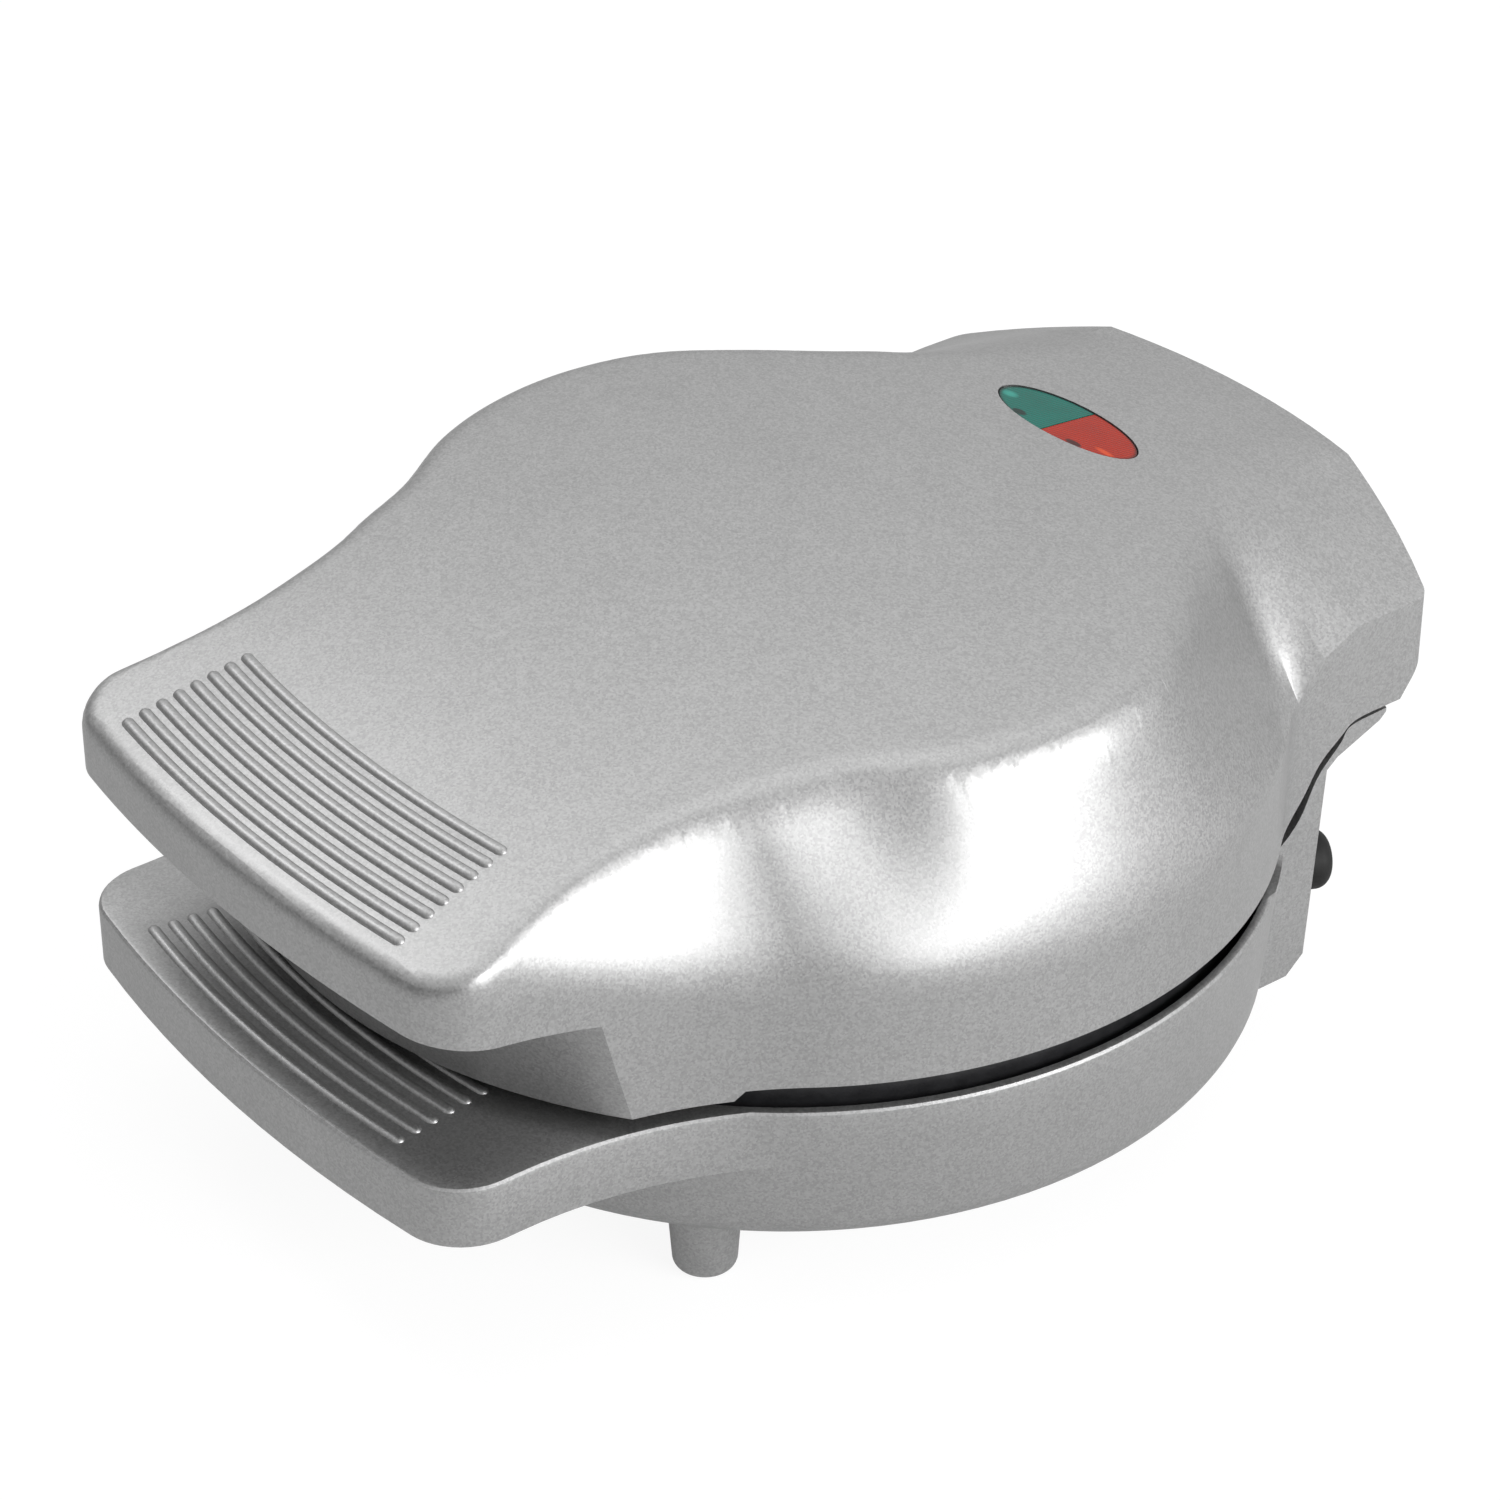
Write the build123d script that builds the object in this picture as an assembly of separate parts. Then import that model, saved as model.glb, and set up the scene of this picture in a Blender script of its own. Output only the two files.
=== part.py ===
from build123d import *
from math import asin, atan2, cos, degrees, hypot, radians, sin, sqrt, tan
import os

# Countertop cake pop maker, closed, in millimetres.
# Everything is worked out about the centre of the round body at the level of the lid's
# side edge, with the handles towards -Y. The last lines set it down on the table,
# with the origin under the middle of the whole object.

# Plan of both shells
body_radius = 105.0
handle_overhang = 32.5
handle_reach = body_radius + handle_overhang
handle_half = 67.5
handle_front_radius = 350.0
handle_corner_radius = 14.0
flank_radius = 98.0
rear_overhang = 21.5
rear_reach = body_radius + rear_overhang
rear_half = body_radius - 29.5
rear_arc_radius = 183.0
rear_corner_radius = 4.0
waist_radius = 16.0
wall = 2.2

# Heights, from the lid's side edge
stand_height = 56.0
crown_height = 66.0
crown_back = 27.0
crown_radius = 533.0
cross_radius = 920.0
shell_gap = 6.0
rear_gap = 0.8
rear_seam_rise = 20.4
lid_front_drop = 2.1
front_step_back = 72.0
base_depth = 40.0
lower_handle_depth = 13.5
upper_handle_edge = 28.0
upper_handle_root = 21.0
skirt_radius = body_radius + 11.0
skirt_lean = 3.7

# Front ribs on the two handles
rib_radius = 1.15
rib_rise = 0.75
upper_rib_count = 8
upper_rib_first = 130.7
upper_rib_pitch = 3.7
upper_rib_half = 48.0
lower_rib_count = 6
lower_rib_first = 130.9
lower_rib_pitch = 4.3
lower_rib_half = 44.5
rib_bow = 3.2

# Base bowl and its rear block
rim_flare = 0.4
bowl_draft = 5.3
bowl_round = 7.0
block_draft = 3.0
block_foot_chamfer = 4.0
block_lift = 1.5
lip_inset = 8.0
lip_edge = 0.9
lip_slope_inset = 13.5
lip_slope_drop = 4.8
block_inset = 23.0
block_top = 10.5
lid_chamfer = 5.0
lid_chamfer_height = 7.6
seam_turn_back = rear_reach - 60.5

# Cooking plates
plate_radius = body_radius - 4.5
plate_chord = body_radius - 9.0
plate_thickness = 2.9
plate_gap = 0.3
plate_skirt = 6.0
plate_skirt_wall = 2.0
cavity_radius = 17.5
cavity_wall = 2.0
inner_ring_radius = 26.0
inner_ring_count = 3
outer_ring_radius = 71.0
outer_ring_count = 9
centre_boss_radius = 4.0

# Heating elements, their straps and shields
heater_ring_radius = 48.5
heater_tube_radius = 3.2
heater_gap_angle = 36.0
heater_bend = 6.5
heater_leg = 11.0
leg_hole_radius = 4.6
strap_width = 8.0
strap_foot = 5.0
strap_thickness = 1.0
rivet_radius = 1.1
rivet_head_radius = 2.1
rivet_head = 0.9
rivet_bite = 1.8
shield_radius = plate_radius - 13.5
shield_thickness = 0.6
shield_rim = 7.0
part_clearance = 0.3

# Screws
screw_radius = 1.5
screw_head_radius = 3.0
screw_head = 1.6
screw_length = 12.0
screw_ring_radius = plate_radius - 7.0
boss_radius = 4.2
screw_angles = (-45.0, -135.0, 35.0, 145.0)

# Feet
foot_x = 60.0
front_foot_y = -66.5
rear_foot_y = 62.0
foot_top_radius = 7.8
foot_end_radius = 6.5
foot_round = 2.4
foot_core_radius = 3.2
pad_radius = 3.8
pad_thickness = 2.4
pad_proud = 0.4
pad_clearance = 0.1

# Hinge
hinge_back = rear_reach - 20.5
hinge_rise = 20.0
hinge_x = 30.0
pin_radius = 1.75
pin_length = 17.0
bush_wall = 0.8
running_clearance = 0.05
lid_ear_width = 7.2
ear_radius = 4.2
ear_clearance = 0.5
base_ear_width = 4.0

# Indicator window, lamps and their holder
window_back = rear_reach - 50.3
window_half_length = 20.8
window_half_width = 7.95
lens_clearance = 0.35
lens_recess = 0.7
lens_divider = 0.15
lens_flange = 1.6
lens_flange_thickness = 1.2
lens_seat_gap = 0.15
lamp_radius = 2.6
lamp_length = 11.0
holder_depth = 9.0
holder_wall = 1.4
holder_boss_radius = 3.0
holder_boss_x = 28.0
holder_screw_bite = 3.0

# Control parts in the base
thermostat_radius = 6.5
thermostat_height = 8.0
thermostat_cap = 1.0
control_ring_radius = plate_radius - 12.5
thermostat_angle = 70.0
fuse_angle = 110.0
fuse_radius = 2.4
fuse_length = 16.0
terminal_size = (26.0, 12.0, 11.0)
terminal_place = (28.0, 74.0)
terminal_way_radius = 2.0
terminal_floor_left = 0.8
wire_radius = 1.1
bundle_radius = 1.6
wire_bend = 3.5
wire_to_plate = 0.5
riser_x = 7.0
wire_gap = 0.3

# Mains cord gland, with no cord in it
gland_side = rear_half - 13.5
gland_drop = 21.0
gland_neck_radius = 5.0
gland_flange_radius = 6.6
gland_bore_radius = 3.3
gland_nose = 8.5
gland_tail = 6.0
cord_clamp_size = (22.0, 7.0, 3.0)
cord_clamp_back = 13.0
cord_clamp_bite = 0.5

arc_centre_y = rear_reach - rear_arc_radius
base_rim = -shell_gap
rear_seam = rear_seam_rise - rear_gap
floor_z = -base_depth
lower_face = base_rim + plate_thickness
upper_face = lower_face + plate_gap
plate_back_low = lower_face - plate_thickness
plate_back_high = upper_face + plate_thickness
far = 2.0 * (handle_reach + rear_reach)
tall = 2.0 * crown_height


def box_between(low, high):
    size = [b - a for a, b in zip(low, high)]
    middle = [(a + b) / 2.0 for a, b in zip(low, high)]
    return Pos(*middle) * Box(*size)


def upright(radius, low, high, x=0.0, y=0.0):
    return Pos(x, y, (low + high) / 2.0) * Cylinder(radius, high - low)


def along_x(radius, left, right, y, z):
    return Pos((left + right) / 2.0, y, z) * Rot(0, 90, 0) * Cylinder(radius, right - left)


def on_ring(radius, angle):
    return radius * cos(radians(angle)), radius * sin(radians(angle))


def mirror_x(shape):
    return mirror(shape, about=Plane.YZ)


def fuse_all(shapes):
    whole = shapes[0]
    for shape in shapes[1:]:
        whole = whole + shape
    return whole


def side_profile(points, half_width=far):
    """A profile drawn in the plane x = 0, as (y, z) points, made solid across the object."""
    face = make_face(Polyline(*[(0, y, z) for y, z in points], close=True))
    return extrude(face, half_width, dir=(1, 0, 0), both=True)


def turned(points, centre_y=0.0):
    """A profile of (radius, z) points turned about an upright axis."""
    face = make_face(Polyline(*[(r, 0, z) for r, z in points], close=True))
    return Pos(0, centre_y, 0) * revolve(face, axis=Axis.Z)


def arc_about(centre, start, end):
    """The shorter arc about a centre from one point to another."""
    radius = hypot(start[0] - centre[0], start[1] - centre[1])
    lean = (start[0] + end[0] - 2 * centre[0], start[1] + end[1] - 2 * centre[1])
    reach = radius / hypot(*lean)
    return ThreePointArc(start, (centre[0] + reach * lean[0], centre[1] + reach * lean[1]), end)


def plan_outline(radius=body_radius, inset=0.0):
    """The outline of a shell seen from above: round body, handle and rear block."""
    body = radius - inset
    handle_side, block_side = handle_half - inset, rear_half - inset
    front_radius, corner = handle_front_radius - inset, handle_corner_radius - inset
    front = (0, handle_front_radius - handle_reach)
    turn = (handle_side - corner,
            front[1] - sqrt((front_radius - corner) ** 2 - (handle_side - corner) ** 2))
    turn_share = front_radius / (front_radius - corner)
    turn_start = (turn[0] * turn_share, front[1] + (turn[1] - front[1]) * turn_share)
    spread = flank_radius + inset
    flank = (handle_side + spread, -sqrt((body + spread) ** 2 - (handle_side + spread) ** 2))
    flank_end = (flank[0] * body / (body + spread), flank[1] * body / (body + spread))
    pinch = waist_radius + inset
    waist = (block_side + pinch, sqrt((body + pinch) ** 2 - (block_side + pinch) ** 2))
    waist_start = (waist[0] * body / (body + pinch), waist[1] * body / (body + pinch))
    rear_radius, rear_corner = rear_arc_radius - inset, rear_corner_radius - inset
    rear = (0, arc_centre_y)
    bend = (block_side - rear_corner,
            rear[1] + sqrt((rear_radius - rear_corner) ** 2 - (block_side - rear_corner) ** 2))
    bend_share = rear_radius / (rear_radius - rear_corner)
    bend_end = (bend[0] * bend_share, rear[1] + (bend[1] - rear[1]) * bend_share)
    half = [
        arc_about(front, (0, front[1] - front_radius), turn_start),
        arc_about(turn, turn_start, (handle_side, turn[1])),
        Line((handle_side, turn[1]), (handle_side, flank[1])),
        arc_about(flank, (handle_side, flank[1]), flank_end),
        arc_about((0, 0), flank_end, waist_start),
        arc_about(waist, waist_start, (block_side, waist[1])),
        Line((block_side, waist[1]), (block_side, bend[1])),
        arc_about(bend, (block_side, bend[1]), bend_end),
        arc_about(rear, bend_end, (0, rear[1] + rear_radius)),
    ]
    return make_face(half + [mirror(edge, about=Plane.YZ) for edge in half])


def flank_half(y):
    """Half width of the outline where the handle spreads into the round body."""
    centre_x = handle_half + flank_radius
    centre_y = -sqrt((body_radius + flank_radius) ** 2 - centre_x**2)
    touch_y = centre_y * body_radius / (body_radius + flank_radius)
    if y > touch_y:
        round_half = sqrt(body_radius**2 - min(abs(y), body_radius - 1) ** 2)
        return max(round_half, rear_half) if y > 0 else round_half
    if y < centre_y:
        return handle_half
    return centre_x - sqrt(flank_radius**2 - (y - centre_y) ** 2)


def crown(x, y, inset=0.0):
    """Height of the arched top, which also falls a little towards both sides."""
    drop = crown_radius - sqrt(crown_radius**2 - (y - crown_back) ** 2)
    return crown_height - inset - drop - x**2 / (2 * cross_radius)


def crown_solid(inset=0.0):
    top = crown_height - inset
    radius = crown_radius - inset
    centre = (0, crown_back, crown_height - crown_radius)
    reach = handle_reach + rear_reach
    arc = ThreePointArc(
        (0, crown_back - reach, centre[2] + sqrt(radius**2 - reach**2)),
        (0, crown_back, top),
        (0, crown_back + reach, centre[2] + sqrt(radius**2 - reach**2)),
    )
    low = -base_depth - 10
    bottom = Polyline(arc @ 1, (0, crown_back + reach, low), (0, crown_back - reach, low), arc @ 0)
    face = make_face([arc] + list(bottom.edges()))
    cross_axis = Axis((0, 0, crown_height - cross_radius), (0, 1, 0))
    half_turn = 9.0
    return revolve(face.rotate(cross_axis, -half_turn), axis=cross_axis, revolution_arc=2 * half_turn)


# Each station of the shoulder: place along Y, how far its crest lies inside the wall,
# and the height at which the slope meets the wall.
flat_crease = 25.6
rear_crease = 43.3
shoulder_steps = 30
shoulder_stations = (
    (-handle_reach - 14.0, -6.0, 42.0),
    (-handle_reach + 8.0, -3.0, 41.5),
    (-handle_reach + 23.0, 2.0, 40.0),
    (-handle_reach + 34.0, 5.5, 36.5),
    (-handle_reach + 46.0, 9.0, 32.0),
    (-handle_reach + 57.0, 12.0, 28.8),
    (-61.0, 18.0, flat_crease),
    (-43.0, 21.6, flat_crease),
    (-27.0, 16.8, flat_crease),
    (-7.0, 14.1, flat_crease + 0.4),
    (12.0, 13.8, flat_crease + 1.2),
    (29.0, 15.9, flat_crease + 1.8),
    (44.0, 21.6, flat_crease + 2.2),
    (57.0, 25.5, flat_crease + 2.0),
    (69.0, 26.0, flat_crease + 3.6),
    (78.0, 27.5, rear_crease - 7.5),
    (86.0, 30.5, rear_crease - 1.4),
    (97.0, 33.5, rear_crease),
    (112.0, 36.5, rear_crease),
    (rear_reach + 14.0, 37.5, rear_crease),
)


def shoulder_cutter(inset=0.0):
    """What is cut from the +X side, outside the slope between the crest and the crease."""
    sections = []
    line = Spline(*[(run, y, crease) for y, run, crease in shoulder_stations])
    for i in range(shoulder_steps + 1):
        station = line @ (i / shoulder_steps)
        run, y, crease = station.X, station.Y, station.Z
        half = flank_half(y)
        crest_x, crest_z = half - run, crown(half - run, y)
        if run < 0:
            crest_z = crease + 6.0
        slope = atan2(crest_z - crease, abs(run))
        lean = (cos(slope), -sin(slope))
        shift = (-inset * sin(slope), -inset * cos(slope))
        high = (crest_x - 9 * lean[0] + shift[0], crest_z - 9 * lean[1] + shift[1])
        low = (half + 12 * lean[0] + shift[0], crease + 12 * lean[1] + shift[1])
        out_x = body_radius + 60.0
        corners = (high, low, (out_x, low[1]), (out_x, tall), (high[0], tall))
        sections.append(make_face(Polyline(*[(x, y, z) for x, z in corners], close=True)))
    return loft(sections, ruled=True)


def seam_line(side, rear, front=None):
    """The (y, z) line of a shell's edge, from the handles to the rear."""
    step = -front_step_back
    turn, rise = seam_turn_back, rear - side
    start = [(-far, side), (turn, side)] if front is None else [
        (-far, front), (step - 1.0, front), (step + 1.0, side), (turn, side)]
    return start, [(turn, side), (turn + 5.5, side + 0.06 * rise), (turn + 12.0, side + 0.30 * rise),
                   (turn + 16.5, side + 0.64 * rise), (turn + 22.5, side + 0.88 * rise), (turn + 31.0, rear)]


def beyond_seam(side, rear, front, outer_z):
    """The solid on one side of a shell's edge line."""
    start, rise = seam_line(side, rear, front)
    curve = Spline(*[(0, y, z) for y, z in rise], tangents=((0, 1, 0), (0, 1, 0)))
    lines = list(Polyline(*[(0, y, z) for y, z in start]).edges())
    lines += list(Polyline(curve @ 1, (0, far, rear), (0, far, outer_z),
                           (0, -far, outer_z), (0, start[0][0], start[0][1])).edges())
    return extrude(make_face([curve] + lines), far, dir=(1, 0, 0), both=True)


def lid_form(inset=0.0):
    """The lid's outer form, or the space inside it."""
    column = extrude(plan_outline(body_radius, inset), crown_height + 5)
    column = Pos(0, 0, -lid_front_drop) * column
    form = column & crown_solid(inset)
    cutter = shoulder_cutter(inset)
    return form - cutter - mirror_x(cutter)


def rib(y, half, surface):
    """One raised handle rib, a bowed round bar that stands out of the surface."""
    ends = (half, y + rib_bow, surface(half, y + rib_bow) - rib_radius + rib_rise)
    middle = (0, y, surface(0, y) - rib_radius + rib_rise)
    path = ThreePointArc((-ends[0], ends[1], ends[2]), middle, ends)
    bar = sweep(Plane(path @ 0, z_dir=path % 0) * Circle(rib_radius), path=path)
    return bar + Pos(*ends) * Sphere(rib_radius) + Pos(-ends[0], ends[1], ends[2]) * Sphere(rib_radius)


def skirt_space(inset=0.0):
    """All that lies behind the front skirt, which is round and leans back going down."""
    slope = skirt_lean / (upper_handle_root + lid_front_drop)
    low, high = -lid_front_drop - 10, crown_height + 10
    low_radius = skirt_radius - inset - 10 * slope
    high_radius = skirt_radius - inset + (high + lid_front_drop) * slope
    cone = turned([(0, low), (low_radius, low), (high_radius, high), (0, high)])
    return cone + box_between((-far, 0, low), (far, far, high))


def rear_bevel(inset=0.0):
    """What the lid's rear wall loses at its foot, so that it can swing down behind the base."""
    top = rear_seam_rise + lid_chamfer_height
    radius = rear_arc_radius - inset
    return turned([(radius - lid_chamfer, rear_seam_rise), (radius, top), (radius + 20, top),
                   (radius + 20, -base_depth), (radius - lid_chamfer, -base_depth)], arc_centre_y)


def window(inset=0.0, side=0):
    """The oval opening for the two lamps' lenses, whole or one half of it."""
    oval = Pos(0, window_back) * Ellipse(window_half_length - inset, window_half_width - inset)
    if side:
        half = Rectangle(window_half_length * 2, window_half_width * 4)
        oval &= Pos(side * (window_half_length + lens_divider), window_back) * half
    return extrude(oval, crown_height + 5)


def ear(radius, width, x, top):
    """A hinge ear: round under the pin, and straight up to its root or shoulder."""
    low = (x - width / 2, hinge_back - radius, hinge_rise)
    high = (x + width / 2, hinge_back + radius, top)
    return along_x(radius, low[0], high[0], hinge_back, hinge_rise) + box_between(low, high)


def make_lid_cover():
    space = lid_form(wall)
    shell = lid_form() - beyond_seam(0.0, rear_seam_rise, -lid_front_drop, -base_depth)
    behind = -skirt_radius / 2
    under = side_profile([(behind, -base_depth), (behind, under_handle(behind)),
                          (-far, under_handle(-far)), (-far, -base_depth)]) - skirt_space()
    shell = shell - under - rear_bevel()
    shell = shell - ((space & skirt_space(wall)) - rear_bevel(wall)) - (space - skirt_space())
    posts = [upright(boss_radius, plate_back_high, crown_height, *on_ring(screw_ring_radius, a))
             for a in screw_angles]
    posts += [upright(holder_boss_radius, holder_top, crown_height, side * holder_boss_x, window_back)
              for side in (1, -1)]
    posts += [ear(ear_radius, lid_ear_width, side * hinge_x, crown_height) for side in (1, -1)]
    posts += [box_between((side * hinge_x - wall / 2, hinge_back, hinge_rise + 3 * ear_radius),
                          (side * hinge_x + wall / 2, rear_reach, crown_height)) for side in (1, -1)]
    room = lid_form(wall / 2) - rear_bevel(wall / 2)
    shell = shell + (fuse_all(posts) & room)
    for i in range(upper_rib_count):
        shell = shell + rib(-upper_rib_first + i * upper_rib_pitch,
                            upper_rib_half - 0.55 * i, crown)
    for angle in screw_angles:
        shell = shell - upright(screw_radius, plate_back_high - 1, plate_back_high + screw_length,
                                *on_ring(screw_ring_radius, angle))
    for side in (1, -1):
        shell = shell - upright(screw_radius, holder_top - 1, holder_top + holder_screw_bite + pad_clearance,
                                side * holder_boss_x, window_back)
        shell = shell - along_x(bush_outer_radius, side * hinge_x - lid_ear_width,
                                side * hinge_x + lid_ear_width, hinge_back, hinge_rise)
    return shell - window()


def under_handle(y):
    """Height of the open lower edge of the upper handle, which rises towards the front."""
    slope = (upper_handle_edge - upper_handle_root) / (handle_reach - skirt_radius + 20)
    return upper_handle_edge - slope * (y + handle_reach)


def plate_outline(inset=0.0):
    disc = Circle(plate_radius - inset)
    return disc & Pos(0, plate_chord - inset - plate_radius) * Rectangle(3 * plate_radius, 2 * plate_radius)


def cavity_places():
    inner_ring = [on_ring(inner_ring_radius, 90 + 360 / inner_ring_count * i)
                  for i in range(inner_ring_count)]
    outer_ring = [on_ring(outer_ring_radius, 90 + 360 / outer_ring_count * i)
                  for i in range(outer_ring_count)]
    return inner_ring + outer_ring


def strap_places(has_controls):
    """Each strap: ring radius, angle, turn about its own middle, inner width, inner height."""
    places = [(heater_ring_radius, a, 0, heater_tube_radius, 2 * heater_tube_radius)
              for a in (30, 150, 270)]
    if has_controls:
        places.append((control_ring_radius, thermostat_angle, 90, thermostat_radius, thermostat_height))
        places.append((control_ring_radius, fuse_angle, 0, fuse_radius, 2 * fuse_radius))
    return places


def rivet_points(has_controls):
    """Where each strap foot is riveted to the back of a plate."""
    points = []
    for radius, angle, turn, half, _ in strap_places(has_controls):
        reach = half + part_clearance + strap_thickness + strap_foot / 2
        x, y = on_ring(radius, angle)
        along = on_ring(reach, angle + turn)
        points += [(x + along[0], y + along[1]), (x - along[0], y - along[1])]
    return points


def strap(radius, angle, turn, half, height):
    """A hat-shaped strap over a heater tube or a control, its feet at z = 0, opening down."""
    inner, t = half + part_clearance, strap_thickness
    height += 2 * part_clearance
    out = inner + t + strap_foot
    points = [(-out, 0), (-inner, 0), (-inner, height), (inner, height), (inner, 0), (out, 0),
              (out, t), (inner + t, t), (inner + t, height + t), (-inner - t, height + t),
              (-inner - t, t), (-out, t)]
    face = make_face(Polyline(*[(u, 0, z) for u, z in points], close=True))
    hat = extrude(face, strap_width / 2, dir=(0, 1, 0), both=True)
    for way in (1, -1):
        hat = hat - upright(rivet_radius, -1, t + 1, way * (out - strap_foot / 2))
    x, y = on_ring(radius, angle)
    return Pos(x, y, 0) * Rot(0, 0, angle + turn) * hat


def plate_side(shape, lower):
    """What is drawn on the back of a plate at z = 0, upwards, put on either plate's back."""
    if lower:
        shape = mirror(shape, about=Plane.XY)
    return Pos(0, 0, plate_back_low if lower else plate_back_high) * shape


def make_plate(lower):
    depth = plate_thickness
    plate = Pos(0, 0, -depth) * extrude(plate_outline(), depth)
    skirt = extrude(plate_outline() - plate_outline(plate_skirt_wall), plate_skirt)
    plate = plate + skirt
    dome = Sphere(cavity_radius + cavity_wall)
    above = box_between((-far, -far, -depth), (far, far, far))
    for x, y in cavity_places():
        plate = plate + (Pos(x, y, -depth) * dome & above)
    plate = plate + upright(centre_boss_radius, -depth, shield_seat)
    for x, y in cavity_places():
        plate = plate - Pos(x, y, -depth) * Sphere(cavity_radius)
    for angle in screw_angles:
        x, y = on_ring(screw_ring_radius, angle)
        plate = plate - upright(screw_radius, -depth - 1, 1, x, y)
        plate = plate - upright(screw_head_radius + part_clearance, -depth - 1,
                                -depth + screw_head + pad_clearance, x, y)
    for x, y in rivet_points(lower):
        plate = plate - upright(rivet_radius, -rivet_bite, 1, x, y)
    plate = plate - upright(screw_radius, shield_seat - screw_length, shield_seat + 1)
    return plate_side(plate, lower)


def make_plate_screws(lower):
    screws = []
    top = -plate_thickness + pad_clearance
    for angle in screw_angles:
        x, y = on_ring(screw_ring_radius, angle)
        screws.append(upright(screw_head_radius, top, top + screw_head, x, y)
                      + upright(screw_radius, top, screw_length - 1, x, y)
                      - box_between((x - screw_head_radius, y - 0.4, top - 1),
                                    (x + screw_head_radius, y + 0.4, top + 0.6)))
    return [plate_side(screw, lower) for screw in screws]


def leg_places():
    """Where the two ends of a heating element stand up from the plate."""
    x, y = on_ring(heater_ring_radius, 90 - heater_gap_angle / 2)
    lean = radians(heater_gap_angle / 2)
    x, y = x - heater_bend * cos(lean), y + heater_bend * sin(lean)
    return [(x, y), (-x, y)]


def leg_height():
    """How far the element's ends reach from a plate's back."""
    return part_clearance + heater_tube_radius + heater_bend + heater_leg


def make_heater(lower):
    gap = heater_gap_angle / 2
    height = heater_tube_radius + part_clearance
    (x, y), _ = leg_places()
    start, end = on_ring(heater_ring_radius, 90 - gap), on_ring(heater_ring_radius, 90 + gap)
    share = 1 - sqrt(0.5)
    knee = (x + share * (start[0] - x), y + share * (start[1] - y), height + heater_bend * share)
    low = height + heater_bend
    path = Wire([
        Line((x, y, low + heater_leg), (x, y, low)),
        ThreePointArc((x, y, low), knee, (start[0], start[1], height)),
        ThreePointArc((start[0], start[1], height), (0, -heater_ring_radius, height),
                      (end[0], end[1], height)),
        ThreePointArc((end[0], end[1], height), (-knee[0], knee[1], knee[2]), (-x, y, low)),
        Line((-x, y, low), (-x, y, low + heater_leg)),
    ])
    tube = sweep(Plane((x, y, low + heater_leg), z_dir=(0, 0, -1)) * Circle(heater_tube_radius), path=path)
    return plate_side(tube, lower)


def make_straps(lower, has_controls, first, last):
    return [plate_side(strap(*place), lower) for place in strap_places(has_controls)[first:last]]


def make_rivets(lower):
    rivets = []
    for x, y in rivet_points(lower):
        head = upright(rivet_head_radius, strap_thickness, strap_thickness + rivet_head, x, y)
        rivets.append(plate_side(head + upright(rivet_radius, -rivet_bite, strap_thickness, x, y), lower))
    return rivets


def make_shield(lower):
    pan = upright(shield_radius, shield_seat, shield_seat + shield_thickness)
    rim = upright(shield_radius, shield_seat - shield_rim, shield_seat) \
        - upright(shield_radius - shield_thickness, shield_seat - shield_rim - 1, shield_seat)
    pan = pan + rim - upright(screw_radius, 0, far)
    for x, y in leg_places():
        pan = pan - upright(leg_hole_radius, 0, far, x, y)
    return plate_side(pan, lower)


def make_shield_screw(lower):
    seat = shield_seat + shield_thickness
    screw = upright(screw_head_radius, seat, seat + screw_head) \
        + upright(screw_radius, seat - screw_length + 1, seat)
    return plate_side(screw, lower)


def make_lens(side):
    low = wall + lens_flange_thickness
    seat = wall + lens_seat_gap
    pane = window(lens_clearance, side) & (crown_solid(lens_recess) - crown_solid(seat))
    rim = window(-lens_flange, side) & (crown_solid(seat) - crown_solid(low))
    return pane + rim


def make_lamp_holder():
    half_x, half_y = window_half_length + lens_flange, window_half_width + lens_flange
    low = (-half_x, window_back - half_y, holder_top - holder_depth)
    tray = box_between(low, (half_x, window_back + half_y, holder_top))
    for side in (1, -1):
        near, away = sorted((side * holder_wall / 2, side * (half_x - holder_wall)))
        tray = tray - box_between((near, window_back - half_y + holder_wall, low[2] + holder_wall),
                                  (away, window_back + half_y - holder_wall, far))
        tab = box_between((min(side * half_x, side * (holder_boss_x + holder_boss_radius)),
                           window_back - holder_boss_radius, holder_top - holder_wall),
                          (max(side * half_x, side * (holder_boss_x + holder_boss_radius)),
                           window_back + holder_boss_radius, holder_top))
        tray = tray + tab - upright(screw_radius, 0, far, side * holder_boss_x, window_back)
    return tray


def make_holder_screws():
    head_z = holder_top - holder_wall
    return [upright(screw_head_radius - 0.5, head_z - screw_head, head_z, side * holder_boss_x, window_back)
            + upright(screw_radius, head_z, holder_top + holder_screw_bite,
                      side * holder_boss_x, window_back) for side in (1, -1)]


def make_lamps():
    z = holder_top - holder_depth + holder_wall + lamp_radius + part_clearance
    lamps = []
    for side in (1, -1):
        x = side * (window_half_length + holder_wall) / 2
        tube = along_x(lamp_radius, x - lamp_length / 2, x + lamp_length / 2, window_back, z)
        lamps.append(tube + Pos(x + side * lamp_length / 2, window_back, z) * Sphere(lamp_radius))
    return lamps


def bowl(inset=0.0, top=None):
    """The round base, or the space inside it."""
    low, rim = floor_z + inset, base_rim
    rim_radius = body_radius + rim_flare - inset
    foot_radius = rim_radius - (rim - low) * tan(radians(bowl_draft))
    corner = bowl_round - inset
    profile = [(0, low), (foot_radius, low), (rim_radius, rim)]
    profile += [(rim_radius, top)] if top else []
    shape = turned(profile + [(0, top or rim)])
    bottom = shape.edges().filter_by(GeomType.CIRCLE).sort_by(Axis.Z)[0]
    return fillet(bottom, corner)


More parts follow.
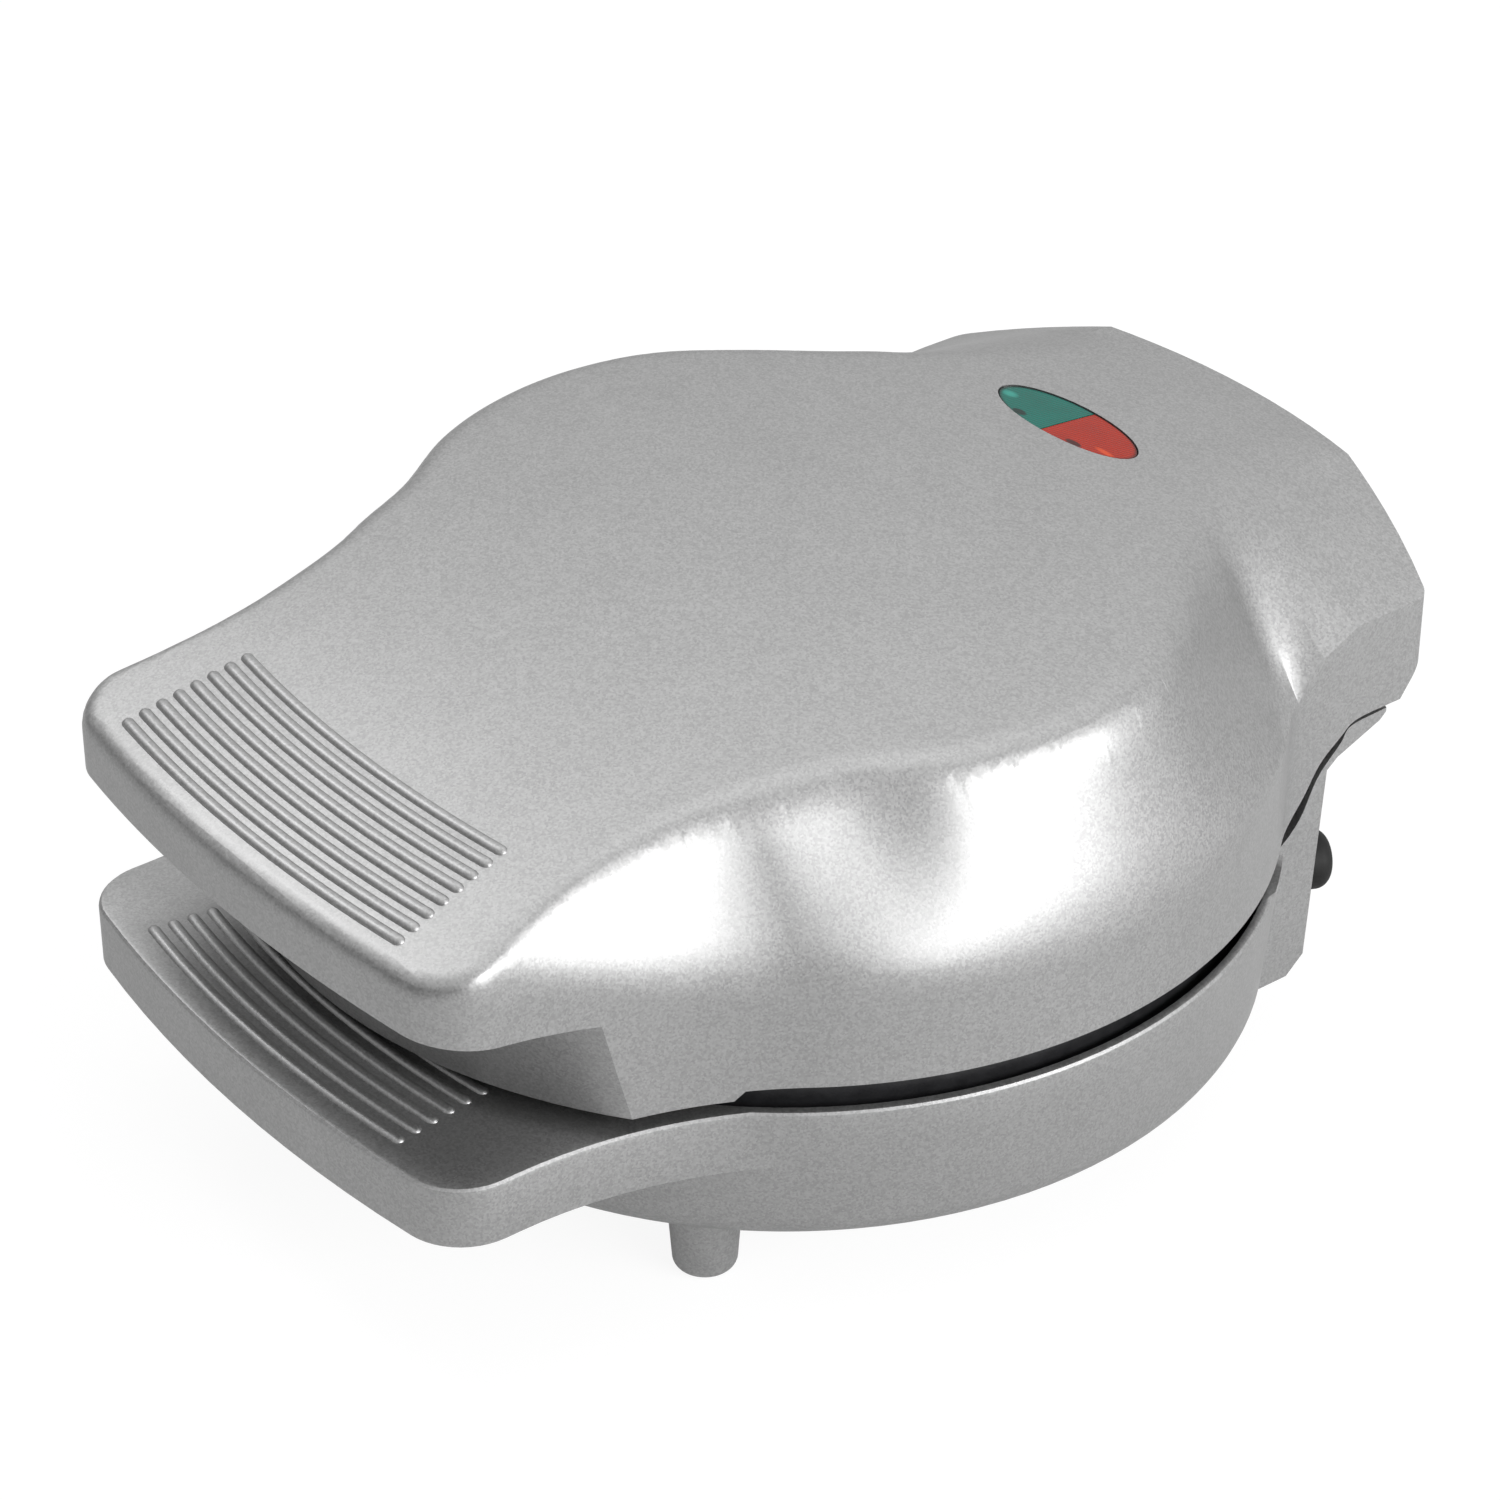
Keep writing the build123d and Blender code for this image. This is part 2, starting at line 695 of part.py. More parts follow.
def rear_block(inset=0.0):
    """The rear of the base: a wall in plan arc, with a lip that reaches back under the lid."""
    low, high = floor_z + block_lift + inset, rear_seam - inset
    wall_radius = rear_arc_radius - block_inset - inset
    foot_radius = wall_radius - (block_top - low) * tan(radians(block_draft))
    lip_radius = rear_arc_radius - lip_inset
    slope_radius = rear_arc_radius - lip_slope_inset
    slope_z = rear_seam - lip_slope_drop + 1.0
    profile = [(body_radius / 2, low), (foot_radius - block_foot_chamfer, low),
               (foot_radius, low + block_foot_chamfer), (wall_radius, block_top)]
    if inset:
        profile += [(wall_radius + 2.5, block_top + 3 + inset / 3), (slope_radius - inset - 1, high)]
    else:
        profile += [(wall_radius + 2.5, block_top + 2.2), (slope_radius, slope_z),
                    (lip_radius - lip_edge, high - 2 * lip_edge), (lip_radius, high - lip_edge),
                    (lip_radius, high)]
    block = turned(profile + [(body_radius / 2, high)], arc_centre_y)
    side = rear_half - inset
    return block & box_between((-side, body_radius / 3, -far), (side, far, far))


def before_rear_wall():
    """All that lies in front of the rear wall's inner face, however high."""
    radius = rear_arc_radius - block_inset - wall
    foot_radius = radius - (block_top - floor_z) * tan(radians(block_draft))
    return turned([(0, floor_z), (foot_radius, floor_z), (radius, block_top), (radius, tall), (0, tall)],
                  arc_centre_y)


def gland_place(shape):
    """Put a shape drawn along +Z, with z = 0 on the outside of the rear wall, at the gland."""
    height = -gland_drop
    radius = rear_arc_radius - block_inset - (block_top - height) * tan(radians(block_draft))
    swing = degrees(asin(gland_side / radius))
    y = arc_centre_y + radius * cos(radians(swing))
    return Pos(gland_side, y, height) * Rot(0, 0, -swing) * Rot(-90 - block_draft, 0, 0) * shape


def foot_places():
    return [(side * foot_x, y) for y in (front_foot_y, rear_foot_y) for side in (1, -1)]


def make_base_housing():
    handle = Pos(0, 0, base_rim - lower_handle_depth) * extrude(
        plan_outline(body_radius - 1), lower_handle_depth)
    front = box_between((-far, -far, -far), (far, -body_radius / 3, far))
    handle = handle & front
    outer = bowl() + handle + rear_block()
    above = beyond_seam(base_rim, rear_seam, None, tall)
    low_above = Pos(0, 0, -wall) * above
    space = extrude(plan_outline(body_radius - 1, wall), lower_handle_depth - wall)
    space = Pos(0, 0, base_rim - lower_handle_depth) * space
    pocket = (space & front) - upright(body_radius + rim_flare, -far, far)
    feet_low = -(stand_height - pad_proud)
    feet = []
    for x, y in foot_places():
        foot_height = floor_z + wall - feet_low
        cone = Pos(x, y, feet_low + foot_height / 2) * Cone(foot_end_radius, foot_top_radius, foot_height)
        feet.append(fillet(cone.edges().filter_by(GeomType.CIRCLE).sort_by(Axis.Z)[0], foot_round))
    mouth = body_radius + rim_flare - wall
    ledge = box_between((-rear_half, body_radius / 3, base_rim - wall), (rear_half, far, base_rim))
    hollow = bowl(wall) - (ledge - before_rear_wall())
    hollow = hollow + (upright(mouth, base_rim, rear_seam + wall) & before_rear_wall())
    shell = outer - above - hollow - (rear_block(wall) - low_above - (ledge - before_rear_wall())) - pocket
    posts = [upright(boss_radius, floor_z + wall / 2, plate_back_low, *on_ring(screw_ring_radius, a))
             for a in screw_angles]
    posts += [upright(boss_radius, floor_z + wall / 2, clamp_seat, x, y) for x, y in clamp_screw_places()]
    shell = shell + fuse_all(feet) + fuse_all(posts)
    for x, y in foot_places():
        shell = shell - upright(foot_core_radius, feet_low + pad_thickness + wall, floor_z + 2 * wall, x, y)
        shell = shell - upright(pad_radius + pad_clearance, feet_low - 1,
                                feet_low + pad_thickness - pad_proud, x, y)
    for i in range(lower_rib_count):
        shell = shell + rib(-lower_rib_first + i * lower_rib_pitch, lower_rib_half - 0.6 * i,
                            lambda x, y: base_rim)
    for side in (1, -1):
        slot_half = lid_ear_width / 2 + ear_clearance
        slot_front = hinge_back - ear_radius - ear_clearance
        shell = shell - box_between((side * hinge_x - slot_half, slot_front, block_top),
                                    (side * hinge_x + slot_half, rear_reach, rear_seam + 1))
        for way in (1, -1):
            x = side * hinge_x + way * (slot_half + base_ear_width / 2)
            knuckle = along_x(ear_radius, x - base_ear_width / 2, x + base_ear_width / 2,
                              hinge_back, hinge_rise)
            root = box_between((x - base_ear_width / 2, hinge_back - ear_radius, rear_seam - wall),
                               (x + base_ear_width / 2, hinge_back + ear_radius, hinge_rise))
            trim = box_between((-far, -far, rear_seam - wall), (far, far, far))
            shell = shell + (knuckle & trim) + root
        shell = shell - along_x(pin_radius, side * hinge_x - pin_length / 2, side * hinge_x + pin_length / 2,
                                hinge_back, hinge_rise)
    slot_low = hinge_rise - 2 * bundle_radius - wall / 2
    shell = shell - box_between((-wire_slot, hinge_back - wire_slot, slot_low),
                                (wire_slot, hinge_back + 4 * bundle_radius, rear_seam + 1))
    for x, y in clamp_screw_places():
        shell = shell - upright(screw_radius, clamp_seat - screw_length, clamp_seat + 1, x, y)
    for angle in screw_angles:
        shell = shell - upright(screw_radius, plate_back_low - screw_length, plate_back_low + 1,
                                *on_ring(screw_ring_radius, angle))
    x, y = terminal_screw_place()
    shell = shell - upright(screw_radius, floor_z + terminal_floor_left, floor_z + 2 * wall, x, y)
    return shell - gland_place(upright(gland_neck_radius + pad_clearance, -4 * wall, 4 * wall))


def terminal_screw_place():
    return terminal_place[0] + terminal_size[0] / 6, terminal_place[1]


def clamp_screw_places():
    middle = gland_place(Pos(0, 0, -cord_clamp_back) * Sphere(1)).center()
    along = on_ring(cord_clamp_size[0] / 2 - boss_radius + 1, -cord_clamp_turn)
    return [(middle.X + way * along[0], middle.Y + way * along[1]) for way in (1, -1)]


def make_cord_clamp():
    middle = gland_place(Pos(0, 0, -cord_clamp_back) * Sphere(1)).center()
    bar = Pos(middle.X, middle.Y, clamp_seat + cord_clamp_size[2] / 2) * Rot(0, 0, -cord_clamp_turn) \
        * Box(*cord_clamp_size)
    for x, y in clamp_screw_places():
        bar = bar - upright(screw_radius, -far, far, x, y)
    return bar


def make_clamp_screws():
    seat = clamp_seat + cord_clamp_size[2]
    return [upright(screw_head_radius, seat, seat + screw_head, x, y)
            + upright(screw_radius, seat - screw_length + 1, seat, x, y) for x, y in clamp_screw_places()]


def make_gland():
    neck = upright(gland_neck_radius, -wall - gland_tail, 0)
    nose = upright(gland_flange_radius, 0, gland_nose)
    nose = fillet(nose.edges().filter_by(GeomType.CIRCLE).sort_by(Axis.Z)[-1], gland_flange_radius / 2)
    nut = upright(gland_flange_radius, -wall - gland_tail, -wall - gland_tail / 2)
    return gland_place(neck + nose + nut - upright(gland_bore_radius, -far, far))


def make_terminal_block():
    x, y = terminal_place
    low = floor_z + wall
    block = Pos(x, y, low + terminal_size[2] / 2) * Box(*terminal_size)
    for i in (-1, 0, 1):
        way = Pos(x + i * terminal_size[0] / 3, y, low + terminal_size[2] / 2) * Rot(90, 0, 0)
        block = block - way * Cylinder(terminal_way_radius, terminal_size[1] + 1)
    return block - upright(screw_radius, -far, far, *terminal_screw_place())


def make_terminal_screw():
    x, y = terminal_screw_place()
    seat = floor_z + wall + terminal_size[2]
    return upright(screw_head_radius, seat, seat + screw_head, x, y) \
        + upright(screw_radius, floor_z + terminal_floor_left + pad_clearance, seat, x, y)


def make_thermostat():
    x, y = on_ring(control_ring_radius, thermostat_angle)
    shoulder = thermostat_height - thermostat_cap
    body = upright(thermostat_radius, 0, shoulder, x, y)
    cap = upright(thermostat_radius - thermostat_cap, shoulder, thermostat_height, x, y)
    return plate_side(Pos(0, 0, part_clearance) * (body + cap), True)


def make_fuse():
    x, y = on_ring(control_ring_radius, fuse_angle)
    body = Pos(x, y, fuse_radius + part_clearance) * Rot(0, 0, fuse_angle) * Rot(90, 0, 0)
    return plate_side(body * Cylinder(fuse_radius, fuse_length), True)


def tube_along(path, radius):
    return sweep(Plane(path @ 0, z_dir=path % 0) * Circle(radius), path=path)


def lead(points, start_way, end_way, radius=wire_radius):
    """A wire on a smooth path through the points, leaving and arriving along the given ways."""
    return tube_along(Spline(*points, tangents=(start_way, end_way)), radius)


def make_pins():
    return [along_x(pin_radius, side * hinge_x - pin_length / 2, side * hinge_x + pin_length / 2,
                    hinge_back, hinge_rise) for side in (1, -1)]


def make_bushes():
    return [along_x(bush_outer_radius, side * hinge_x - lid_ear_width / 2, side * hinge_x + lid_ear_width / 2,
                    hinge_back, hinge_rise)
            - along_x(pin_radius + running_clearance, side * hinge_x - lid_ear_width,
                      side * hinge_x + lid_ear_width, hinge_back, hinge_rise) for side in (1, -1)]


def make_pads():
    low = -stand_height
    return [upright(pad_radius, low, low + pad_thickness - pad_clearance, x, y) for x, y in foot_places()]


def make_base_wires():
    """Two leads from the block to the element's ends, and the bundle that goes up to the hinge."""
    (leg_x, leg_y), _ = leg_places()
    leg_end = plate_back_low - leg_height()
    x, y = terminal_place
    z = floor_z + wall + terminal_size[2] / 2
    spacing = terminal_size[0] / 3
    front, rear = y - terminal_size[1] / 2, y + terminal_size[1] / 2
    inside = terminal_size[1] / 4
    dip = leg_end - 2 * wire_bend
    riser_y = plate_chord + bundle_radius + wire_to_plate
    near_end = lead([(x, front + inside, z), (x, front - wire_bend, z),
                     (leg_x + 2 * wire_bend, leg_y + wire_bend, dip + wire_bend / 2),
                     (leg_x, leg_y, leg_end)], (0, -1, 0), (0, 0, 1))
    far_end = lead([(x - spacing, front + inside, z), (x - spacing, front - wire_bend, z),
                    (-leg_x + 2 * wire_bend, leg_y + wire_bend, dip + wire_bend / 2),
                    (-leg_x, leg_y, leg_end)], (0, -1, 0), (0, 0, 1))
    foot = (riser_x, riser_y, plate_back_low - plate_skirt - wire_bend)
    head = (riser_x, riser_y, block_top)
    route = Wire([
        Spline((x - spacing, rear - inside, z), (x - spacing, rear + wire_bend, z), foot,
               tangents=((0, 1, 0), (0, 0, 1))),
        Line(foot, head),
        Spline(head, (wire_gap / 2, hinge_back, hinge_rise), tangents=((0, 0, 1), (-1, 0, 0))),
    ])
    bundle = tube_along(route, bundle_radius)
    return [near_end, far_end, bundle]


def make_lid_wires():
    """The bundle from the hinge to the element, and the lead from the element to the lamps."""
    (leg_x, leg_y), _ = leg_places()
    leg_end = plate_back_high + leg_height()
    holder_low = holder_top - holder_depth
    high = (leg_end + holder_low) / 2
    rise = (-riser_x, hinge_back - wire_bend, hinge_rise + 3 * wire_bend)
    top = (-leg_x, (hinge_back + leg_y) / 2, high)
    climb = (0, -0.5, 0.9)
    route = Wire([
        Spline((-wire_gap / 2, hinge_back, hinge_rise), rise, tangents=((-1, 0, 0), climb)),
        Spline(rise, top, tangents=(climb, (0, -1, 0))),
        Spline(top, (-leg_x, leg_y, leg_end), tangents=((0, -1, 0), (0, 0, -1))),
    ])
    bundle = tube_along(route, bundle_radius)
    lamp_lead = lead([(leg_x, leg_y, leg_end), (leg_x, (leg_y + window_back) / 2, high),
                      (leg_x, window_back, holder_low)], (0, 0, 1), (0, 0, 1))
    return [bundle, lamp_lead]


shield_seat = cavity_radius + cavity_wall - plate_thickness + part_clearance
holder_top = crown(window_half_length + lens_flange, window_back + window_half_width + lens_flange) \
    - wall - lens_flange_thickness - part_clearance
bush_outer_radius = pin_radius + running_clearance + bush_wall
clamp_seat = -gland_drop + gland_bore_radius - cord_clamp_bite
cord_clamp_turn = degrees(asin(gland_side / (rear_arc_radius - block_inset)))
wire_slot = 10.0

nodes = {
    "base_housing": make_base_housing,
    "lower_plate": lambda: make_plate(True),
    "lower_plate_screws": lambda: make_plate_screws(True),
    "lower_heater": lambda: make_heater(True),
    "lower_heater_straps": lambda: make_straps(True, False, 0, 3),
    "control_straps": lambda: make_straps(True, True, 3, 5),
    "lower_rivets": lambda: make_rivets(True),
    "lower_heat_shield": lambda: make_shield(True),
    "lower_shield_screw": lambda: make_shield_screw(True),
    "thermostat": make_thermostat,
    "thermal_fuse": make_fuse,
    "terminal_block": make_terminal_block,
    "terminal_block_screw": make_terminal_screw,
    "cord_gland": make_gland,
    "cord_clamp": make_cord_clamp,
    "cord_clamp_screws": make_clamp_screws,
    "foot_pads": make_pads,
    "hinge_pins": make_pins,
    "base_wires": make_base_wires,
    "lid_cover": make_lid_cover,
    "upper_plate": lambda: make_plate(False),
    "upper_plate_screws": lambda: make_plate_screws(False),
    "upper_heater": lambda: make_heater(False),
    "upper_heater_straps": lambda: make_straps(False, False, 0, 3),
    "upper_rivets": lambda: make_rivets(False),
    "upper_heat_shield": lambda: make_shield(False),
    "upper_shield_screw": lambda: make_shield_screw(False),
    "green_lens": lambda: make_lens(-1),
    "red_lens": lambda: make_lens(1),
    "lamp_holder": make_lamp_holder,
    "lamp_holder_screws": make_holder_screws,
    "indicator_lamps": make_lamps,
    "hinge_bushes": make_bushes,
    "lid_wires": make_lid_wires,
}

os.makedirs("parts", exist_ok=True)
on_table = Pos(0, (handle_reach - rear_reach) / 2, stand_height)
for name, make in nodes.items():
    made = make()
    pieces = made if isinstance(made, list) else [made]
    solids = [solid for piece in pieces for solid in (on_table * piece).solids()]
    whole = solids[0] if len(solids) == 1 else Compound(solids)
    export_step(whole, f"parts/{name}.step")
    print(name, len(solids), round(sum(solid.volume for solid in solids)))
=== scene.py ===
import bpy
import math
import numpy as np
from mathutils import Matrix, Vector


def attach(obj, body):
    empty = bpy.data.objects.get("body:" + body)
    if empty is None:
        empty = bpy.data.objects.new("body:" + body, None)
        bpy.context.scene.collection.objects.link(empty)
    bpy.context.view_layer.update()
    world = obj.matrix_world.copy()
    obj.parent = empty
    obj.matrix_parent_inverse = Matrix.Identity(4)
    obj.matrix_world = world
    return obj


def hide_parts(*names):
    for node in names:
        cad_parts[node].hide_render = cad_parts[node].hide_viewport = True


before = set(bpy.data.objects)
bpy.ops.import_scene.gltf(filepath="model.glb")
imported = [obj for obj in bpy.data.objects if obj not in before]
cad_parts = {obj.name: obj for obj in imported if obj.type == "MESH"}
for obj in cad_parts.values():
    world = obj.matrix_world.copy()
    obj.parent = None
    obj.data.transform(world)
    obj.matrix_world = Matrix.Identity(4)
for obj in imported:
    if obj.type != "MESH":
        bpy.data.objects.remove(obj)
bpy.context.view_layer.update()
scene = bpy.context.scene
mm = 0.001
sharpAngle = math.radians(28)       # edges sharper than this stay crisp on the shells

view = {
    "place": (0.62598, -0.48651, 0.56598),
    "yaw": 52.35,
    "pitch": 32.11,
    "roll": -0.02,
    "lens": 107.6,
    "sensor": 36.0,
    "farthest": 20.0,
}


def addCamera():
    data = bpy.data.cameras.new("photoCamera")
    data.lens, data.sensor_width = view["lens"], view["sensor"]
    data.clip_end = view["farthest"]
    camera = bpy.data.objects.new("photoCamera", data)
    scene.collection.objects.link(camera)
    camera.location = view["place"]
    turns = (90 - view["pitch"], view["roll"], view["yaw"])
    camera.rotation_euler = [math.radians(turn) for turn in turns]
    scene.camera = camera


addCamera()
print("camera in place")


class Field:
    # a socket of a material, so that its maths reads as Python
    def __init__(self, tree, socket=None):
        self.tree, self.socket = tree, socket

    def node(self, kind, settings=None, inputs=None, output=0):
        made = self.tree.nodes.new(kind)
        for name, value in (settings or {}).items():
            if name == "stops":
                self.setStops(made.color_ramp, value)
            else:
                setattr(made, name, value)
        for name, value in (inputs or {}).items():
            if isinstance(value, Field):
                self.tree.links.new(value.socket, made.inputs[name])
            else:
                made.inputs[name].default_value = value
        return Field(self.tree, made.outputs[output] if made.outputs else None)

    def setStops(self, ramp, stops):
        while len(ramp.elements) < len(stops):
            ramp.elements.new(0.5)
        for element, (place, shade) in zip(ramp.elements, stops):
            element.position = place
            grey = isinstance(shade, (int, float))
            element.color = (shade, shade, shade, 1) if grey else (*shade, 1)

    def maths(self, kind, first, second):
        return self.node("ShaderNodeMath", {"operation": kind}, {0: first, 1: second})

    def __add__(self, other):
        return self.maths("ADD", self, other)

    def __sub__(self, other):
        return self.maths("SUBTRACT", self, other)

    def __rsub__(self, other):
        return self.maths("SUBTRACT", other, self)

    def __mul__(self, other):
        return self.maths("MULTIPLY", self, other)

    __radd__, __rmul__ = __add__, __mul__


def newMaterial(name):
    material = bpy.data.materials.new(name)
    material.use_nodes = True
    material.node_tree.nodes.clear()
    return material, Field(material.node_tree)


def objectPlace(field, scale=(1.0, 1.0, 1.0)):
    place = field.node("ShaderNodeTexCoord", output="Object")
    return field.node("ShaderNodeMapping", {}, {"Vector": place, "Scale": scale})


def noise(field, place, scale, detail=2.0, rough=0.5):
    return field.node("ShaderNodeTexNoise", {}, {
        "Vector": place, "Scale": scale, "Detail": detail, "Roughness": rough}, "Fac")


def ramp(field, value, *stops):
    return field.node("ShaderNodeValToRGB", {"stops": stops}, {"Fac": value}, "Color")


def bump(field, height, strength, distance):
    return field.node("ShaderNodeBump", {}, {
        "Height": height, "Strength": strength, "Distance": distance})


def surface(field, material, values):
    shader = field.node("ShaderNodeBsdfPrincipled", {}, values)
    field.node("ShaderNodeOutputMaterial", {}, {"Surface": shader})
    return material


silver = {
    "dark": (0.34, 0.34, 0.34),
    "light": (0.455, 0.455, 0.455),
    "stops": (0.2, 0.8),
    "flakeScale": 2300.0,
    "cloudScale": 60.0,
    "cloudDetail": 3.0,
    "grainScale": 1400.0,
    "toneShares": (0.55, 0.2, 0.25),        # flakes, clouds and grain
    "gloss": (0.37, 0.08, 0.06),            # least roughness, then what grain and flakes add
    "metal": 0.9,
    "liftShares": (0.4, 0.6),               # flakes and grain
    "lift": 0.12,
    "liftDepth": 0.12 * mm,
}


def silverPaint():
    material, field = newMaterial("silverPaint")
    place = objectPlace(field)
    flakes = field.node("ShaderNodeTexVoronoi", {"feature": "F1"}, {
        "Vector": place, "Scale": silver["flakeScale"]}, "Color")
    flake = field.node("ShaderNodeSeparateColor", {}, {"Color": flakes}, 0)
    cloud = noise(field, place, silver["cloudScale"], silver["cloudDetail"])
    grain = noise(field, place, silver["grainScale"])
    shares, rise = silver["toneShares"], silver["liftShares"]
    tone = flake * shares[0] + cloud * shares[1] + grain * shares[2]
    paint = ramp(field, tone, *zip(silver["stops"], (silver["dark"], silver["light"])))
    least, byGrain, byFlake = silver["gloss"]
    relief = flake * rise[0] + grain * rise[1]
    return surface(field, material, {
        "Base Color": paint, "Roughness": least + grain * byGrain + flake * byFlake,
        "Metallic": silver["metal"],
        "Normal": bump(field, relief, silver["lift"], silver["liftDepth"])})


cloudy = {
    "cloudDetail": 4.0,
    "grainFiner": 9,            # how much finer the grain is than the clouds
    "grainDetail": 3.0,
    "grainRough": 0.6,
    "shares": (0.6, 0.4),       # clouds and grain in the colour
    "stops": (0.3, 0.7),
}


def plainFinish(name, dark, light, scale, rough, metal=0.0, lift=0.05, liftDepth=0.1 * mm,
                spread=0.08, **more):
    # a finish with cloudy colour, a varied gloss and a fine grain
    material, field = newMaterial(name)
    place = objectPlace(field)
    cloud = noise(field, place, scale, cloudy["cloudDetail"])
    grain = noise(field, place, scale * cloudy["grainFiner"], cloudy["grainDetail"],
                  cloudy["grainRough"])
    tone = cloud * cloudy["shares"][0] + grain * cloudy["shares"][1]
    values = {
        "Base Color": ramp(field, tone, *zip(cloudy["stops"], (dark, light))),
        "Roughness": rough + (grain - 0.5) * spread,
        "Metallic": metal,
        "Normal": bump(field, grain, lift, liftDepth),
    }
    values.update(more)
    return surface(field, material, values)


brushed = {
    "streaks": (900.0, 60.0, 60.0),
    "cloudScale": 70.0,
    "detail": 3.0,
    "shares": (0.5, 0.5),       # streaks and clouds in the colour
    "stops": (0.3, 0.7),
    "spread": 0.12,
    "lift": 0.08,
    "liftDepth": 0.1 * mm,
}


def brushedMetal(name, dark, light, rough, streaks=brushed["streaks"]):
    material, field = newMaterial(name)
    streak = noise(field, objectPlace(field, streaks), 1.0, brushed["detail"])
    cloud = noise(field, objectPlace(field), brushed["cloudScale"], brushed["detail"])
    tone = streak * brushed["shares"][0] + cloud * brushed["shares"][1]
    return surface(field, material, {
        "Base Color": ramp(field, tone, *zip(brushed["stops"], (dark, light))),
        "Roughness": rough + cloud * brushed["spread"], "Metallic": 1.0,
        "Normal": bump(field, streak, brushed["lift"], brushed["liftDepth"])})


lens = {
    "pitch": 0.75 * mm,
    "lines": (0.38, 0.12),              # depth of the moulded lines across and along
    "cloudScale": 150.0,
    "shares": (0.6, 0.4),               # lines and clouds in the tint
    "stops": (0.15, 0.85),
    "shades": (0.6, 1.3),               # darkest and palest, as shares of the colour
    "green": (0.003, 0.155, 0.120),
    "red": (0.42, 0.022, 0.006),
    # colours of the painted highlights, paler spots painted at one end of each lens
    "greenGlow": (0.05, 0.42, 0.34, 1),
    "redGlow": (0.85, 0.10, 0.02, 1),
    "shadow": (0.012, 0.012, 0.012, 1),
    # centre and half sizes of the whole window, the snap clips' marks and the painted highlights,
    # glints painted into the lens colour
    "window": (0.0, 81.7 * mm, 20.8 * mm, 7.95 * mm),
    "greenClip": (-9.0 * mm, 75.9 * mm, 2.3 * mm, 1.2 * mm),
    "redClip": (8.7 * mm, 75.7 * mm, 2.6 * mm, 1.1 * mm),
    "greenGlint": (-17.2 * mm, 80.4 * mm, 2.6 * mm, 1.5 * mm),
    "redGlint": (15.4 * mm, 78.6 * mm, 3.4 * mm, 0.9 * mm),
    # stops from each oval's centre to its edge, and how strongly it shows
    "rim": ((0.86, 0.0), (0.95, 1.0), 0.8),
    "clip": ((0.5, 1.0), (1.0, 0.0), 0.85),
    # stops and strength of the painted highlight
    "paintedHighlight": ((0.1, 1.0), (1.0, 0.0), 0.7),
    "gloss": (0.2, 0.12),
    "ior": 1.49,
    "specular": 0.16,
    "relief": 0.12,
    "reliefDepth": 0.2 * mm,
    "lift": 0.45,                       # millimetres
    "face": 1.0,                        # how far under the lid's surface its face may lie
}


def ovalMark(field, axes, oval, look):
    # a soft mark on an oval, from its centre to its edge
    parts = [(axis - place) * (1 / half) for axis, place, half in zip(axes, oval[:2], oval[2:])]
    inner, outer, strength = look
    return ramp(field, parts[0] * parts[0] + parts[1] * parts[1], inner, outer) * strength


def lensPlastic(name):
    # tinted plastic with fine moulded lines on its back, a dark rim and a snap clip seen through it,
    # and a painted highlight: a paler oval painted into its colour
    material, field = newMaterial(name + "LensPlastic")
    place = objectPlace(field)
    axes = [field.node("ShaderNodeSeparateXYZ", {}, {"Vector": place}, i) for i in (0, 1)]
    turns = 2 * math.pi / lens["pitch"]
    waves = [field.maths("SINE", axis * turns, 0.0) * depth for axis, depth in zip(axes, lens["lines"])]
    lines = waves[0] + waves[1] + 0.5
    cloud = noise(field, place, lens["cloudScale"])
    shades = [tuple(part * share for part in lens[name]) for share in lens["shades"]]
    tone = lines * lens["shares"][0] + cloud * lens["shares"][1]
    tint = ramp(field, tone, *zip(lens["stops"], shades))
    rim = ovalMark(field, axes, lens["window"], lens["rim"])
    clip = ovalMark(field, axes, lens[name + "Clip"], lens["clip"])
    # painted highlight: an oval of paler colour where light glints on the pane
    paintedHighlight = ovalMark(field, axes, lens[name + "Glint"], lens["paintedHighlight"])
    dark = field.maths("MAXIMUM", rim, clip)
    # the painted highlight is mixed into the tint first, then the dark rim and clip
    for share, colour in ((paintedHighlight, lens[name + "Glow"]), (dark, lens["shadow"])):
        tint = field.node("ShaderNodeMix", {"data_type": "RGBA"}, {0: share, 6: tint, 7: colour}, 2)
    least, spread = lens["gloss"]
    return surface(field, material, {
        "Base Color": tint, "Roughness": least + cloud * spread, "IOR": lens["ior"],
        "Specular IOR Level": lens["specular"],
        "Normal": bump(field, lines, lens["relief"], lens["reliefDepth"])})


